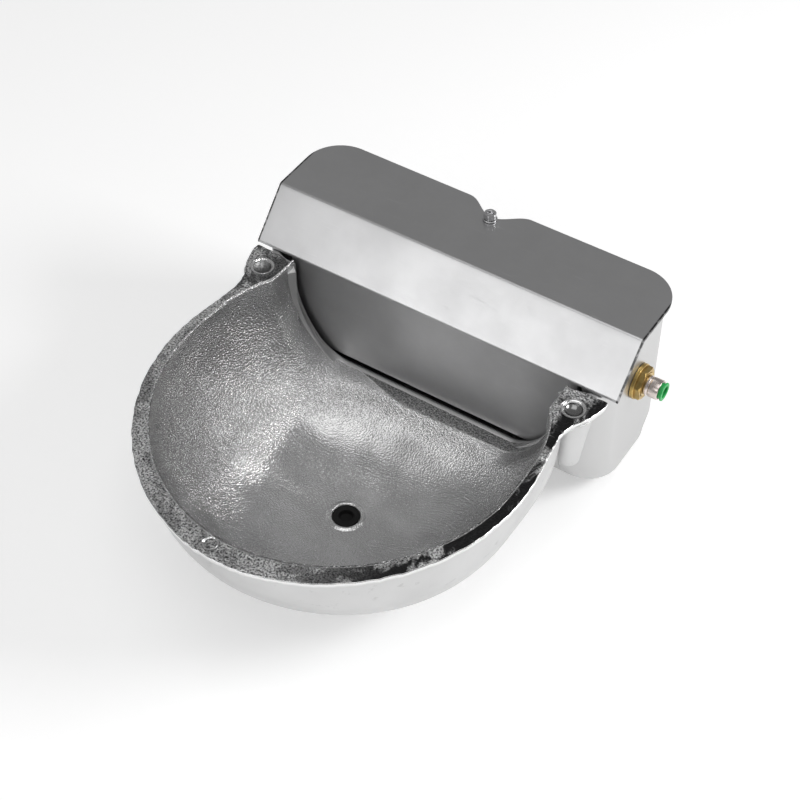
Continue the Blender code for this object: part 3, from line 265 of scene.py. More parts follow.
def turned(name, profile, axis, middle, steps=96, radius_at=None, dense=1):
    """A surface turned about X, Y or Z: place = along the axis, radius times (cos a, sin a).

    The profile is a closed loop of (along, radius). radius_at(angle, along, radius) may change the
    radius, for flats.
    """
    if dense > 1:
        following = np.roll(profile, -1, axis=0)
        t = (np.arange(dense) / dense)[None, :, None]
        profile = (profile[:, None] * (1 - t) + following[:, None] * t).reshape(-1, 2)
    angle = np.linspace(0, 2 * math.pi, steps, endpoint=False)
    along, a = np.meshgrid(profile[:, 0], angle, indexing="ij")
    radius = np.repeat(profile[:, 1][:, None], steps, axis=1)
    if radius_at is not None:
        radius = radius_at(a, along, radius)
    u, v = radius * np.cos(a), radius * np.sin(a)
    order = {"X": (along, u, v), "Y": (u, along, v), "Z": (u, v, along)}[axis]
    points = np.stack(order, axis=-1) + np.array(middle)
    return grid_mesh(name, points, close_rows=True, close_columns=True)


def hexagon_at(across, chamfer_from, chamfer_to, turn=0.0):
    """Radius of a hexagon with chamfered corners.

    Flats lie across/2 from the axis: across / (2 cos(a)) for the angle from the nearest flat. A
    cone that starts at chamfer_from and narrows towards chamfer_to cuts the corners.
    """

    def radius_at(angle, along, radius):
        nearest = (angle - turn + math.pi / 6) % (math.pi / 3) - math.pi / 6
        flats = across / 2 / np.cos(nearest)
        share = (along - chamfer_from) / (chamfer_to - chamfer_from)
        cone = across / math.sqrt(3) * (1.0 - 0.105 * np.clip(share, 0, 1.6))
        limit = np.minimum(flats, np.where(share > 0, cone, flats))
        return np.where(radius > across / 2.2, np.minimum(limit * radius / (across / 2), limit), radius)

    return radius_at


# ---- The bowl

def dish_plan(angle, half_width, front, back):
    """Reach of a bowl at its rim, and the power of its depth, for a direction from its centre.

    In plan a superellipse |x/w|^p + |y/r|^p = 1, p differing between the front and the back.
    """
    reach_y = np.where(np.sin(angle) > 0, back, front)
    theta = np.arctan2(np.sin(angle) / reach_y, np.cos(angle) / half_width)
    c, s = np.cos(theta), np.sin(theta)
    power = np.where(s > 0, PLAN_BACK_POWER, PLAN_FRONT_POWER)
    unit = (np.abs(c) ** power + np.abs(s) ** power) ** (-1 / power)
    end = np.where(s > 0, DEPTH_BACK_POWER, DEPTH_FRONT_POWER)
    deep = DEPTH_SIDE_POWER + (end - DEPTH_SIDE_POWER) * s * s
    return unit * np.hypot(half_width * c, reach_y * s), deep


def dish_curve(level, reach, power, depth):
    """Wall of a bowl from its middle, level 0, to its rim, level 1.

    Out = reach sin(level pi/2)^(2/power), down = depth cos(level pi/2)^(2/power).
    """
    swing = np.clip(level, 0, 1) * math.pi / 2
    return reach * np.sin(swing) ** (2 / power), -depth * np.clip(np.cos(swing), 0, 1) ** (2 / power)


def level_at_radius(radius, reach, power):
    """The level at which a bowl's wall has a given radius."""
    return np.arcsin(np.clip(radius / reach, 0, 1) ** (power / 2)) * 2 / math.pi


def level_at_height(height, power, depth):
    """The level at which a bowl's wall has a given height."""
    return np.arccos(np.clip(-height / depth, 0, 1) ** (power / 2)) * 2 / math.pi


def passage_height(x):
    """Lower edge of the opening to the float chamber at a distance from the middle."""
    share = np.clip((x - (PASSAGE_HALF - PASSAGE_CORNER)) / PASSAGE_CORNER, 0, 1)
    cosine = share ** (PASSAGE_SHARE / 2)
    sine = np.sqrt(np.clip(1 - cosine * cosine, 0, 1))
    height = PASSAGE_LOW + PASSAGE_RISE * (1 - sine ** (2 / PASSAGE_SHARE))
    return np.where(x > PASSAGE_HALF, 0.0, height)


def passage_width(height):
    """Half the width of the opening at a height."""
    share = np.clip((PASSAGE_LOW + PASSAGE_RISE - height) / PASSAGE_RISE, 0, 1)
    sine = share ** (PASSAGE_SHARE / 2)
    cosine = np.sqrt(np.clip(1 - sine * sine, 0, 1))
    return PASSAGE_HALF - PASSAGE_CORNER * (1 - cosine ** (2 / PASSAGE_SHARE))


def rim_reach(angle):
    """Outer edge of the rim in a direction: a superellipse in front, measured stations behind."""
    front = dish_plan(angle, HALF_WIDTH + RIM_SIDE, FRONT_REACH + RIM_FRONT, BACK_REACH)[0]
    y = WALL_TO_CENTRE - RIM_STATIONS[:, 0]
    x = RIM_STATIONS[:, 1]
    bearing = np.arctan2(y, x)
    distance = np.hypot(x, y)
    fine = np.linspace(0, 1, 400)
    along = np.linspace(0, 1, len(x))
    kernel = np.interp(fine, along, distance)
    kernel = np.convolve(np.pad(kernel, 14, mode="edge"), np.hanning(29) / np.hanning(29).sum(), "valid")
    behind = np.interp(angle, np.interp(fine, along, bearing), kernel)
    return np.where(angle < 0, front, behind)


def ear_behind(x, y):
    """How far a point lies behind the rear edge of an ear's flat top."""
    return y - np.interp(np.abs(x), EAR_BACK[:, 0], EAR_BACK[:, 1])


def top_relief(x, y):
    """Height of the rim's top: the ears' lower rear step, rings, dished recesses and the front mark."""
    side = np.abs(x)
    height = -EAR_STEP * smoothstep(ear_behind(x, y), -0.0006, 0.0008) * (side > 0.0995)
    away = np.hypot(side - EAR_X, y - EAR_Y)
    ring = 0.0007 * smoothstep(away, RECESS_RADIUS - 0.0006, RECESS_RADIUS + 0.0002)
    ring = ring * (1 - smoothstep(away, RING_RADIUS - 0.0003, RING_RADIUS + 0.0009))
    dished = -0.0030 * (1 - np.clip(away / RECESS_RADIUS, 0, 1) ** 2.4)
    mark = np.hypot(x - FRONT_MARK[0], y - FRONT_MARK[1])
    pip = -0.0008 * (1 - smoothstep(mark, 0.0036, 0.0046))
    pip = pip + 0.0004 * smoothstep(mark, 0.0036, 0.0044) * (1 - smoothstep(mark, 0.0046, 0.0056))
    return height + ring + dished + pip


def bowl_surface(rounding, wave_height):
    """The bowl inside and out, with its rim, ears and ledge, as one closed loop in both directions.

    Each column stands in a vertical plane through the bowl's centre. Its rows run from the drain
    hole over the floor, up the wall, along the passage where there is one, over the rim's top,
    down the outside and under the foot back to the drain hole.
    """
    corner = math.degrees(math.atan2(WALL_TO_CENTRE - PASSAGE_MEETS, PASSAGE_HALF))
    clamp_y = WALL_TO_CENTRE - WALL_MIDDLE
    gate = math.degrees(math.atan2(clamp_y, PASSAGE_HALF))
    half = np.concatenate([
        np.arange(-90, -81, 0.5), np.arange(-81, 14, 1.5), np.arange(14, 24, 0.5),
        np.arange(24, gate - 0.06, 0.24), [gate - 0.03, gate + 0.03],
        np.arange(gate + 0.4, 60, 0.5), np.arange(60, 90.01, 1.2),
    ])
    a = np.radians(half)[None, :]
    open_wall = (half > gate)[None, :]
    cosine, sine = np.cos(a), np.sin(a)
    reach, power = dish_plan(a, HALF_WIDTH, FRONT_REACH, BACK_REACH)
    body, body_power = dish_plan(a, BODY_HALF_WIDTH, BODY_FRONT, BODY_BACK)
    clamp = np.where(sine > 0.3, clamp_y / np.maximum(sine, 0.3), 9.0)

    # Level at which the wall meets the passage, and a smooth way to it from the front
    level = np.linspace(0, 1, 800)[:, None]
    r, z = dish_curve(level, reach, power, DEPTH)
    meets = z >= passage_height(r * cosine)
    first = np.argmax(meets, axis=0)
    meet = np.where(meets.any(axis=0), level[first, 0], 1.0)[None, :]
    behind = half[None, :] > corner
    at_corner = meet[0, np.argmax(half > corner)]
    ease = smoothstep(half[None, :], corner - 26, corner)
    split = np.where(behind, meet, 1 - (1 - at_corner) * ease)

    # Drain bead, floor and wall
    radius = np.linspace(DRAIN_RADIUS, BEAD_REACH, 12)[:, None]
    z0 = dish_curve(level_at_radius(radius, reach, power), reach, power, DEPTH)[1]
    bead = smoothstep(radius, DRAIN_RADIUS - 0.0003, DRAIN_RADIUS + 0.0008)
    bead = BEAD_HEIGHT * (0.35 + 0.65 * bead) * (1 - smoothstep(radius, 0.0112, 0.0136))
    rows = [(radius + 0 * a, z0 + bead, 0.0)]
    start = level_at_radius(BEAD_REACH, reach, power)
    w = np.linspace(0, 1, 58)[1:, None]
    rows.append((*dish_curve(start + (split - start) * w, reach, power, DEPTH), 0.0))

    # From there up to the rim, or along the passage into the chamber's wall
    w = np.linspace(0, 1, 19)[1:, None]
    top_level = level_at_height(-rounding, power, DEPTH)
    wall_r, wall_z = dish_curve(split + (top_level - split) * w, reach, power, DEPTH)
    side_z = rows[-1][1][-1:] * (1 - w) - rounding * w
    at_side_z = dish_curve(level_at_height(side_z, power, DEPTH), reach, power, DEPTH)[0]
    near = half[None, :] > corner - 12
    rounded = soft_max(np.where(behind, at_side_z, wall_r),
                       passage_width(np.where(behind, side_z, wall_z)) / np.maximum(cosine, 0.2), 0.0007)
    meet_r = rows[-1][0][-1:]
    ledge_r = meet_r + (clamp - meet_r) * w
    ledge_z = passage_height(ledge_r * cosine) - 0.0007 * np.exp(-((ledge_r - meet_r) / 0.0015))
    r = np.where(open_wall, ledge_r, np.where(near, rounded, wall_r))
    z = np.where(open_wall, ledge_z, np.where(behind, side_z, wall_z))
    # The crease with the passage is cast round: a running mean over the rows beside it
    both_r, both_z = (np.concatenate([p[-12:], q]) for p, q in ((rows[-1][0], r), (rows[-1][1], z)))
    soft = smoothstep(half[None, :], corner - 0.3, corner + 1.5)
    for width in (3, 3, 2):
        for values in (both_r, both_z):
            mean = sum(values[width + k:len(values) - width + k] for k in range(-width, width + 1))
            inner = values[width:-width]
            inner += (mean / (2 * width + 1) - inner) * soft * (np.arange(len(inner)) < 22)[:, None]
    rows[-1] = (np.concatenate([rows[-1][0][:-12], both_r[:12]]),
                np.concatenate([rows[-1][1][:-12], both_z[:12]]), 0.0)
    r, z = both_r[12:], both_z[12:]
    rows.append((r, z, 0.1))
    end_r, end_z = r[-1:], z[-1:]

    # Round inner edge, the flat top and the round outer edge
    turn = np.linspace(0, 1, 6)[1:, None] * math.pi / 2
    fr = end_r + rounding * (1 - np.cos(turn))
    fz = -rounding + rounding * np.sin(turn) + 0 * end_r
    outer = np.minimum(rim_reach(a), clamp)
    outer = outer + np.where(half[None, :] < 38, 1, 0) * 0.00022 * waves(
        outer * cosine, outer * sine, 0 * outer, 0.007, 5)
    rows.append((np.where(open_wall, end_r, np.minimum(fr, outer)), np.where(open_wall, end_z, fz), 0.6))
    start_r = np.where(open_wall, end_r, np.minimum(end_r + rounding, outer))
    edge = CAST_EDGE
    w = np.linspace(0, 1, 27)[1:, None]
    stop_r = np.where(open_wall, end_r, np.maximum(outer - edge, start_r))
    rows.append((start_r + (stop_r - start_r) * w, np.where(open_wall, end_z, 0.0) + 0 * w, 1.0))
    turn = np.linspace(0, 1, 5)[1:, None] * math.pi / 2
    slim = np.where(open_wall, 0.0, 1.0)
    rows.append((stop_r + (np.maximum(outer, stop_r) - stop_r) * np.sin(turn) * slim,
                 np.where(open_wall, end_z, -edge * (1 - np.cos(turn))), 1.3))
    w = np.array([0.3, 0.6, 1.0])[:, None]
    out_r = np.where(open_wall, end_r, np.maximum(outer, stop_r))
    rows.append((out_r - RIM_SLOPE * w ** 1.5 * slim, np.where(open_wall, end_z, -0.002 - 0.004 * w), 1.7))
    under = np.minimum(dish_curve(level_at_height(-RIM_THICK, body_power, BODY_DEPTH), body, body_power,
                                  BODY_DEPTH)[0], clamp)
    w = np.array([0.15, 0.6, 1.0])[:, None]
    last_r = out_r - RIM_SLOPE * slim
    rows.append((np.where(open_wall, end_r, last_r + (np.minimum(under, last_r) - last_r) * w),
                 np.where(open_wall, end_z, -RIM_THICK - 0.0006 * w), 2.0))

    # The outside down to the foot, and under it to the drain hole
    top = np.where(open_wall, end_z, -RIM_THICK - 0.0006)
    high = level_at_height(top, body_power, BODY_DEPTH)
    low = level_at_radius(FOOT_RADIUS + 0.003, body, body_power)
    w = np.linspace(0, 1, 37)[1:, None]
    r, z = dish_curve(high + (low - high) * w, body, body_power, BODY_DEPTH)
    rows.append((np.minimum(r, clamp), np.minimum(z, top), 2.0))
    foot = np.array([(FOOT_RADIUS + 0.0008, BASE + 0.0012), (FOOT_RADIUS, BASE + 0.0004),
                     (FOOT_RADIUS - 0.0008, BASE), (FOOT_RADIUS * 0.66, BASE), (FOOT_RADIUS * 0.36, BASE),
                     (DRAIN_BOTTOM + 0.0005, BASE), (DRAIN_BOTTOM, BASE + 0.0005),
                     (DRAIN_BOTTOM + 0.0010, BASE + 0.0040), (DRAIN_RADIUS - 0.0003, BASE + 0.0068)])
    rows.append((foot[:, :1] + 0 * a, foot[:, 1:] + 0 * a, 2.0))

    r, z, skin = joined(rows)
    x, y = r * cosine, -WALL_TO_CENTRE + r * sine
    x = np.concatenate([x, -x[:, -2:0:-1]], axis=1)
    y, z, skin = (np.concatenate([v, v[:, -2:0:-1]], axis=1) for v in (y, z, skin))
    on_top = (skin >= 0.99) & (skin <= 1.31) & (z > -0.001)
    z = z + np.where(on_top, top_relief(x, y), 0)
    rough_top = np.clip(skin, 0, 1) * (skin < 1.5) * (np.hypot(np.abs(x) - EAR_X, y - EAR_Y) > 0.009)
    z = z + 0.00012 * rough_top * waves(x, y, z, 0.006, 11)
    inside = np.clip(1 - skin * 2, 0, 1) * smoothstep(np.hypot(x, y + WALL_TO_CENTRE), 0.016, 0.03)
    inside = inside * smoothstep(-z, 0.002, 0.01)
    move = wave_height * waves(x, y, z, 0.030, 3) * inside
    centre = np.stack([x, y + WALL_TO_CENTRE, (z + DEPTH) * 0.6 - 0.06], axis=-1)
    centre /= np.linalg.norm(centre, axis=-1, keepdims=True)
    points = np.stack([x, y, z], axis=-1) + centre * move[..., None]
    return points, skin


# ---- The float chamber

def draw_in(height, inset, foot):
    """How far a wall with a round foot lies inside its plan: inset + reach (1 - sqrt(1 - share^2))."""
    reach, rise = foot[0] - inset, foot[1] - inset
    share = 1 - np.clip((height - BASE - inset) / rise, 0, 1)
    return inset + reach * (1 - np.sqrt(1 - share * share))


def chamber_spot(section, t, height, inset):
    """Plan place of a point on the chamber's wall.

    The wall has eight sections: right side, rear right corner, rear, rear left corner, left side,
    front left corner, front and front right corner. t runs from 0 to 1 along each.
    """
    half = CHAMBER_HALF - draw_in(height, inset, END_ROUND)
    front = -CHAMBER_DEEP + draw_in(height, inset, FRONT_ROUND)
    step = np.clip((-PAD_DROP - height) / PAD_SLOPE, 0, 1)
    back = -draw_in(height, inset, BACK_ROUND) - PAD_STEP * step
    fr, br = FRONT_CORNER - inset, BACK_CORNER - inset
    quarter = t * math.pi / 2
    xs = [
        half, half - br + br * np.cos(quarter), (half - br) * (1 - 2 * t), br - half - br * np.sin(quarter),
        -half, fr - half - fr * np.cos(quarter), (half - fr) * (2 * t - 1), half - fr + fr * np.sin(quarter),
    ]
    ys = [
        front + fr + (back - br - front - fr) * t, back - br + br * np.sin(quarter), back,
        back - br + br * np.cos(quarter), back - br + (front + fr - back + br) * t,
        front + fr - fr * np.sin(quarter), front, front + fr - fr * np.cos(quarter),
    ]
    picks = [section == k for k in range(8)]
    shape = np.broadcast(section, height).shape
    x = np.select(picks, [np.broadcast_to(v, shape) for v in xs])
    y = np.select(picks, [np.broadcast_to(v, shape) for v in ys])
    return x, y


def chamber_top(x, y, front_wall):
    """Height of the chamber's edge: under the cover, along its slant, and round the passage."""
    slope = (COVER_TOP - SLANT_Z) / (FOLD_Y - SLANT_Y)
    under = CASTING_TOP - np.clip(FOLD_Y + 0.0011 - y, 0, 1) * slope
    top = np.clip(under, -0.005, CASTING_TOP)
    top = np.where(y < SLANT_Y - 0.0003, -EAR_STEP, top)
    notch = (np.abs(x) < NOTCH_INNER) & (y > -0.01)
    top = np.where(notch, 0.013, top)
    side = np.abs(x)
    return np.where(front_wall & (side < PASSAGE_HALF + 0.0001), passage_height(side - 0.00015) - 0.00015, top)


def chamber_surface():
    """The float chamber as one closed cup.

    Each column follows one place along the wall: from the middle of the floor up the inside, over
    the edge and down the outside, back to the middle of the underside.
    """
    counts = [40, 14, 0, 14, 40, 16, 0, 16]
    columns = []
    for section, count in enumerate(counts):
        if section == 2:
            n = NOTCH_INNER
            xs = np.concatenate([np.linspace(CHAMBER_REAR_HALF, n + 0.0002, 24), [n - 0.0002],
                                 np.linspace(n - 0.002, 0, 8)])
            xs = np.concatenate([xs, -xs[-2::-1]])
            columns += [(2, t) for t in (1 - xs / CHAMBER_REAR_HALF) / 2]
        elif section == 6:
            edge = PASSAGE_HALF
            xs = np.concatenate([np.linspace(-CHAMBER_FRONT_HALF, -edge - 0.0004, 4),
                                 -edge + np.array([-0.0002, 0.0002]),
                                 -edge + np.linspace(0.0006, 0.038, 30), np.linspace(-0.064, 0, 16)])
            xs = np.concatenate([xs, -xs[-2::-1]])
            columns += [(6, t) for t in (xs / CHAMBER_FRONT_HALF + 1) / 2]
        else:
            columns += [(section, t) for t in np.arange(count) / count]
    section = np.array([c[0] for c in columns])[None, :]
    t = np.array([c[1] for c in columns])[None, :]
    x, y = chamber_spot(section, t, np.zeros_like(t), 0.0)
    front_wall = section == 6
    top = chamber_top(x, y, front_wall)
    edge = CAST_EDGE
    rows = []
    w = np.linspace(0, 1, 44)[:, None] ** 1.25
    floor = BASE + CHAMBER_WALL
    height = floor + (top - edge - floor) * w
    x, y = chamber_spot(section, t, height, CHAMBER_WALL)
    for share in np.linspace(0.0, 1, 7)[:-1]:
        rows.append((x[:1] * share, CHAMBER_MIDDLE + (y[:1] - CHAMBER_MIDDLE) * share, height[:1], 0.0))
    rows.append((x, y, height, 0.0))
    for share in (0.35, 0.75, 1.0):
        inset = CHAMBER_WALL - edge * (1 - math.cos(share * math.pi / 2))
        h = top - edge + edge * math.sin(share * math.pi / 2)
        rows.append((*chamber_spot(section, t, h, inset), h, 0.7))
    for share in (0.0, 0.5, 0.8, 1.0):
        inset = edge * (1 - math.sin(share * math.pi / 2))
        h = top - edge + edge * math.cos(share * math.pi / 2)
        rows.append((*chamber_spot(section, t, h, inset), h, 1.2))
    w = np.linspace(1, 0, 54)[1:, None] ** 1.25
    height = BASE + (top - edge - BASE) * w
    x, y = chamber_spot(section, t, height, 0.0)
    rows.append((x, y, height, 2.0))
    for share in np.linspace(1, 0.0, 7)[1:]:
        rows.append((x[-1:] * share, CHAMBER_MIDDLE + (y[-1:] - CHAMBER_MIDDLE) * share, height[-1:], 2.0))
    x, y, z, skin = joined(rows)
    return np.stack([x, y, z], axis=-1), skin


# ---- The folded cover

def cover_rear(x):
    """Rear edge of the cover: straight, with round corners, a soft notch and a slot for the screw."""
    side = np.abs(x)
    past = np.clip(side - (COVER_HALF - COVER_CORNER), 0, COVER_CORNER)
    edge = COVER_REAR - (COVER_CORNER - np.sqrt(np.clip(COVER_CORNER ** 2 - past ** 2, 0, 1)))
    notch = COVER_REAR - NOTCH_DEEP * (1 + np.cos(math.pi * np.clip(side / NOTCH_HALF, 0, 1))) / 2
    slot = SCREW_Y - np.sqrt(np.clip(SLOT_HALF ** 2 - side ** 2, 0, 1))
    return np.where(side < SLOT_HALF, slot, np.minimum(edge, notch))


def cover_surface():
    """The cover's outer side as a grid: rows follow the fold line, columns run across.

    Rows go from the rear edge over the flat top, the round fold, the slant and the round bend down
    the baffle. Past the baffle's ends its rows close up on the slant's lower edge.
    """
    n = SLOT_HALF
    half = np.concatenate([
        np.linspace(0, n * 0.98, 9), [n * 1.0001, n * 1.06], np.linspace(0.0045, NOTCH_HALF, 22),
        np.linspace(0.028, BAFFLE_HALF - 0.0004, 26), [BAFFLE_HALF, BAFFLE_HALF + 0.00001],
        COVER_HALF - COVER_CORNER + COVER_CORNER * np.sin(np.linspace(0, 1, 30) * math.pi / 2),
    ])
    half = np.unique(np.round(half, 7))
    x = np.concatenate([-half[::-1], half[1:]])[None, :]
    slope = math.atan2(COVER_TOP - SLANT_Z, FOLD_Y - SLANT_Y)
    back_off = BEND * math.tan(slope / 2)
    low_turn = math.pi / 2 - slope
    low_off = BEND * math.tan(low_turn / 2)
    fold_start = FOLD_Y + back_off
    w = np.linspace(0, 1, 40)[:, None] ** 0.9
    rear = cover_rear(x)
    rows_y = [rear + (fold_start - rear) * w]
    rows_z = [COVER_TOP + 0 * x * w]
    turn = np.linspace(0, slope, 9)[1:, None]
    rows_y.append(fold_start - BEND * np.sin(turn) + 0 * x)
    rows_z.append(COVER_TOP - BEND * (1 - np.cos(turn)) + 0 * x)
    down = np.array([-math.cos(slope), -math.sin(slope)])
    begin = np.array([FOLD_Y, COVER_TOP]) + down * back_off
    finish = np.array([SLANT_Y, SLANT_Z]) - down * low_off
    w = np.linspace(0, 1, 16)[1:, None]
    rows_y.append(begin[0] + (finish[0] - begin[0]) * w + 0 * x)
    rows_z.append(begin[1] + (finish[1] - begin[1]) * w + 0 * x)
    turn = slope + np.linspace(0, low_turn, 9)[1:, None]
    mid_y = finish[0] + BEND * math.sin(slope)
    mid_z = finish[1] - BEND * math.cos(slope)
    rows_y.append(mid_y - BEND * np.sin(turn) + 0 * x)
    rows_z.append(mid_z + BEND * np.cos(turn) + 0 * x)
    w = np.linspace(0, 1, 22)[1:, None]
    start_z = rows_z[-1][-1:]
    has_baffle = np.abs(x) <= BAFFLE_HALF + 0.000005
    rows_y.append(SLANT_Y + 0 * w * x)
    rows_z.append(np.where(has_baffle, start_z + (BAFFLE_LOW - start_z) * w, start_z + 0 * w))
    y, z = np.concatenate(rows_y), np.concatenate(rows_z)
    flat = 0.00006 * waves(x + 0 * y, y, z, 0.12, 8)
    return np.stack([x + 0 * y, y - 0.6 * flat, z - np.abs(flat)], axis=-1)


# ---- Finishes

class Field:
    """A number or colour that varies over a surface. Arithmetic on it adds Math nodes."""

    def __init__(self, finish, socket):
        self.finish = finish
        self.socket = socket

    def math(self, operation, *others):
        return self.finish.node("ShaderNodeMath", {"operation": operation}, [self, *others])

    def __add__(self, other):
        return self.math("ADD", other)

    def __mul__(self, other):
        return self.math("MULTIPLY", other)

    def __sub__(self, other):
        return self.math("SUBTRACT", other)

    def __rsub__(self, other):
        return self.finish.node("ShaderNodeMath", {"operation": "SUBTRACT"}, [other, self])

    def __pow__(self, other):
        return self.math("POWER", other)

    __radd__ = __add__
    __rmul__ = __mul__

    def clamp(self):
        return self.finish.node("ShaderNodeClamp", {}, [self])

    def ease(self, low, high, to_low=0.0, to_high=1.0):
        """Eases from one value to another between two limits."""
        return self.finish.node("ShaderNodeMapRange", {"interpolation_type": "SMOOTHSTEP", "clamp": True},
                                [self, low, high, to_low, to_high])


class Finish:
    """One material: its nodes are added by one method, and its shader's sockets set by name."""

    def __init__(self, name, metallic=0.0, roughness=0.5):
        self.material = bpy.data.materials.new(name)
        self.material.use_nodes = True
        self.tree = self.material.node_tree
        self.shader = self.tree.nodes["Principled BSDF"]
        self.shader.inputs["Metallic"].default_value = metallic
        self.shader.inputs["Roughness"].default_value = roughness
        self.place = self.node("ShaderNodeTexCoord", {}, [], "Object")

    def node(self, kind, settings, sockets, output=0):
        """Adds a node: its settings first, then the values or links of its sockets."""
        node = self.tree.nodes.new(kind)
        for key, value in settings.items():
            setattr(node, key, value)
        pairs = sockets.items() if isinstance(sockets, dict) else enumerate(sockets)
        for key, value in pairs:
            self.feed(node.inputs[key], value)
        return Field(self, node.outputs[output])

    def feed(self, socket, value):
        if isinstance(value, Field):
            self.tree.links.new(value.socket, socket)
        elif isinstance(value, (tuple, list)) and len(value) == 3 and len(socket.default_value) == 4:
            socket.default_value = (*value, 1)
        else:
            socket.default_value = value

    def set(self, name, value):
        self.feed(self.shader.inputs[name], value)

    def noise(self, scale, detail=3.0, roughness=0.55, distortion=0.0, place=None):
        return self.node("ShaderNodeTexNoise", {}, {"Vector": place or self.place, "Scale": scale, "Detail": detail,
                                                    "Roughness": roughness, "Distortion": distortion}, "Fac")

    def cells(self, scale, smooth):
        return self.node("ShaderNodeTexVoronoi", {"feature": "SMOOTH_F1"}, {
            "Vector": self.place, "Scale": scale, "Randomness": 1.0, "Smoothness": smooth}, "Distance")

    def stretched(self, x, y, z):
        """The place with each axis stretched, for grain that runs one way."""
        return self.node("ShaderNodeVectorMath", {"operation": "MULTIPLY"}, [self.place, (x, y, z)])

    def part(self, name):
        """One of the place's coordinates."""
        return self.node("ShaderNodeSeparateXYZ", {}, [self.place], name)

    def mix(self, factor, first, second):
        """Blends two colours."""
        node = self.tree.nodes.new("ShaderNodeMix")
        node.data_type = "RGBA"
        self.feed(node.inputs["Factor"], factor)
        colours = [s for s in node.inputs if s.type == "RGBA"]
        self.feed(colours[0], first)
        self.feed(colours[1], second)
        return Field(self, [s for s in node.outputs if s.type == "RGBA"][0])

    def bump(self, height, strength, distance=0.001):
        """Feeds the shader's normal with a relief; a second call stacks on the first."""
        sockets = {"Height": height, "Strength": strength, "Distance": distance}
        before = self.shader.inputs["Normal"].links
        if before:
            sockets["Normal"] = Field(self, before[0].from_socket)
        self.set("Normal", self.node("ShaderNodeBump", {}, sockets, "Normal"))

    def attribute(self, name):
        return self.node("ShaderNodeAttribute", {"attribute_name": name}, [], "Fac")


def shade(colour, share):
    """A darker or lighter shade of a colour."""
    return tuple(min(1, c * share) for c in colour)


def cast_finish(look):
    """Cast aluminium: hammered and bright inside, dark coarse skin on the rim, satin outside."""
    f = Finish("cast_aluminium", metallic=1.0)
    skin = f.attribute("skin")
    x, y, level = f.part("X"), f.part("Y"), f.part("Z")
    rim = skin.ease(0.70, 0.95) * skin.ease(1.05, 1.28, 1.0, 0.0)
    outside = skin.ease(1.4, 1.9)
    inside = (1 - skin.ease(0.70, 0.95)) * (1 - outside)
    blotch = f.noise(22.0, 3.0, 0.55)
    stain = f.noise(10.0, 2.0, 0.5, 0.4)
    speck = f.noise(820.0, 3.0, 0.65)
    grit = f.noise(950.0, 3.0, 0.6)
    streak = f.noise(30.0, 5.0, 0.66, 1.2)

    # The rough wedge on the ledge beside the baffle
    edge_line = y + x.ease(-0.075, -0.008, -0.0130, 0.0)
    ledge = edge_line.ease(-0.1040, -0.1022) * level.ease(-0.100, -0.082) * inside
    ledge = ledge * level.ease(-0.072, -0.060, 1.0, 0.0) * x.ease(-0.080, -0.066)

    # Ear rings with their dished recesses, and the small mark in front
    aside = x.math("ABSOLUTE") - EAR_X
    away = (aside * aside + (y - EAR_Y) ** 2.0) ** 0.5
    ring = away.ease(RECESS_RADIUS - 0.0009, RECESS_RADIUS)
    ring = ring * away.ease(RING_RADIUS - 0.0003, RING_RADIUS + 0.0004, 1.0, 0.0)
    recess = away.ease(RECESS_RADIUS - 0.0011, RECESS_RADIUS - 0.0002, 1.0, 0.0) * x.ease(-0.01, 0.01, 0.55, 1.0)
    mark = ((x - FRONT_MARK[0]) ** 2.0 + (y - FRONT_MARK[1]) ** 2.0) ** 0.5
    ring = (ring + mark.ease(0.0034, 0.0042) * mark.ease(0.0048, 0.0056, 1.0, 0.0)).clamp()
    smooth = (ring + recess).clamp() * rim
    plain = rim * (1 - smooth)

    inner = f.mix(blotch.ease(0.35, 0.7), tuple(look.inside_colour), shade(look.inside_colour, 1.16))
    inner = f.mix(stain.ease(0.50, 0.70) * 0.50, inner, shade(look.inside_colour, 0.50))
    inner = f.mix(ledge * (0.35 + 0.55 * speck.ease(0.40, 0.60)), inner, (0.10, 0.10, 0.10))
    # Darker streaks on the rim's top, heavier towards the right end and towards the back
    black = (0.45 + 0.55 * x.ease(0.02, 0.10) + 0.35 * y.ease(-0.150, -0.125)).clamp() * streak.ease(0.44, 0.56)
    top = f.mix(speck.ease(0.36, 0.60), tuple(look.rim_colour), (0.78, 0.78, 0.78))
    top = f.mix(black, top, shade(look.rim_colour, 0.30))
    top = f.mix(smooth, top, f.mix(ring, (0.26, 0.26, 0.26), (0.78, 0.78, 0.78)))
    outer = f.mix(blotch.ease(0.3, 0.7), tuple(look.outside_colour), shade(look.outside_colour, 0.92))
    outer = f.mix(f.noise(75.0, 5.0, 0.7).ease(0.60, 0.68) * 0.30, outer, shade(look.outside_colour, 0.5))
    edge = f.mix(outside, (0.80, 0.80, 0.80), outer)
    colour = f.mix(rim, f.mix(inside, edge, inner), top)
    f.set("Base Color", colour)
    soft = (0.14 + 0.14 * stain + 0.30 * ledge) * inside + 0.40 * outside + 0.20 * smooth
    soft = soft + (0.30 + 0.30 * speck) * plain + 0.25 * (1 - inside) * (1 - outside) * (1 - rim)
    f.set("Roughness", soft)
    hammer = f.cells(1.0 / look.hammer_size, smooth=0.35)
    fine = f.cells(2.2 / look.hammer_size, smooth=0.4)
    worn = level.ease(-0.099, -0.080, 0.30, 1.0) * (0.65 + 0.7 * stain)
    f.bump((hammer + 0.6 * fine + 0.25 * f.noise(420.0, 2.0)) * inside * worn, 1.0, look.hammer_depth)
    f.bump((f.noise(330.0, 4.0, 0.7) + 0.4 * grit) * (plain + 0.8 * ledge), 0.95, 0.0016)
    f.bump(f.noise(160.0, 4.0, 0.6) * outside + 0.4 * grit * outside, 0.16, 0.0006)
    return f.material


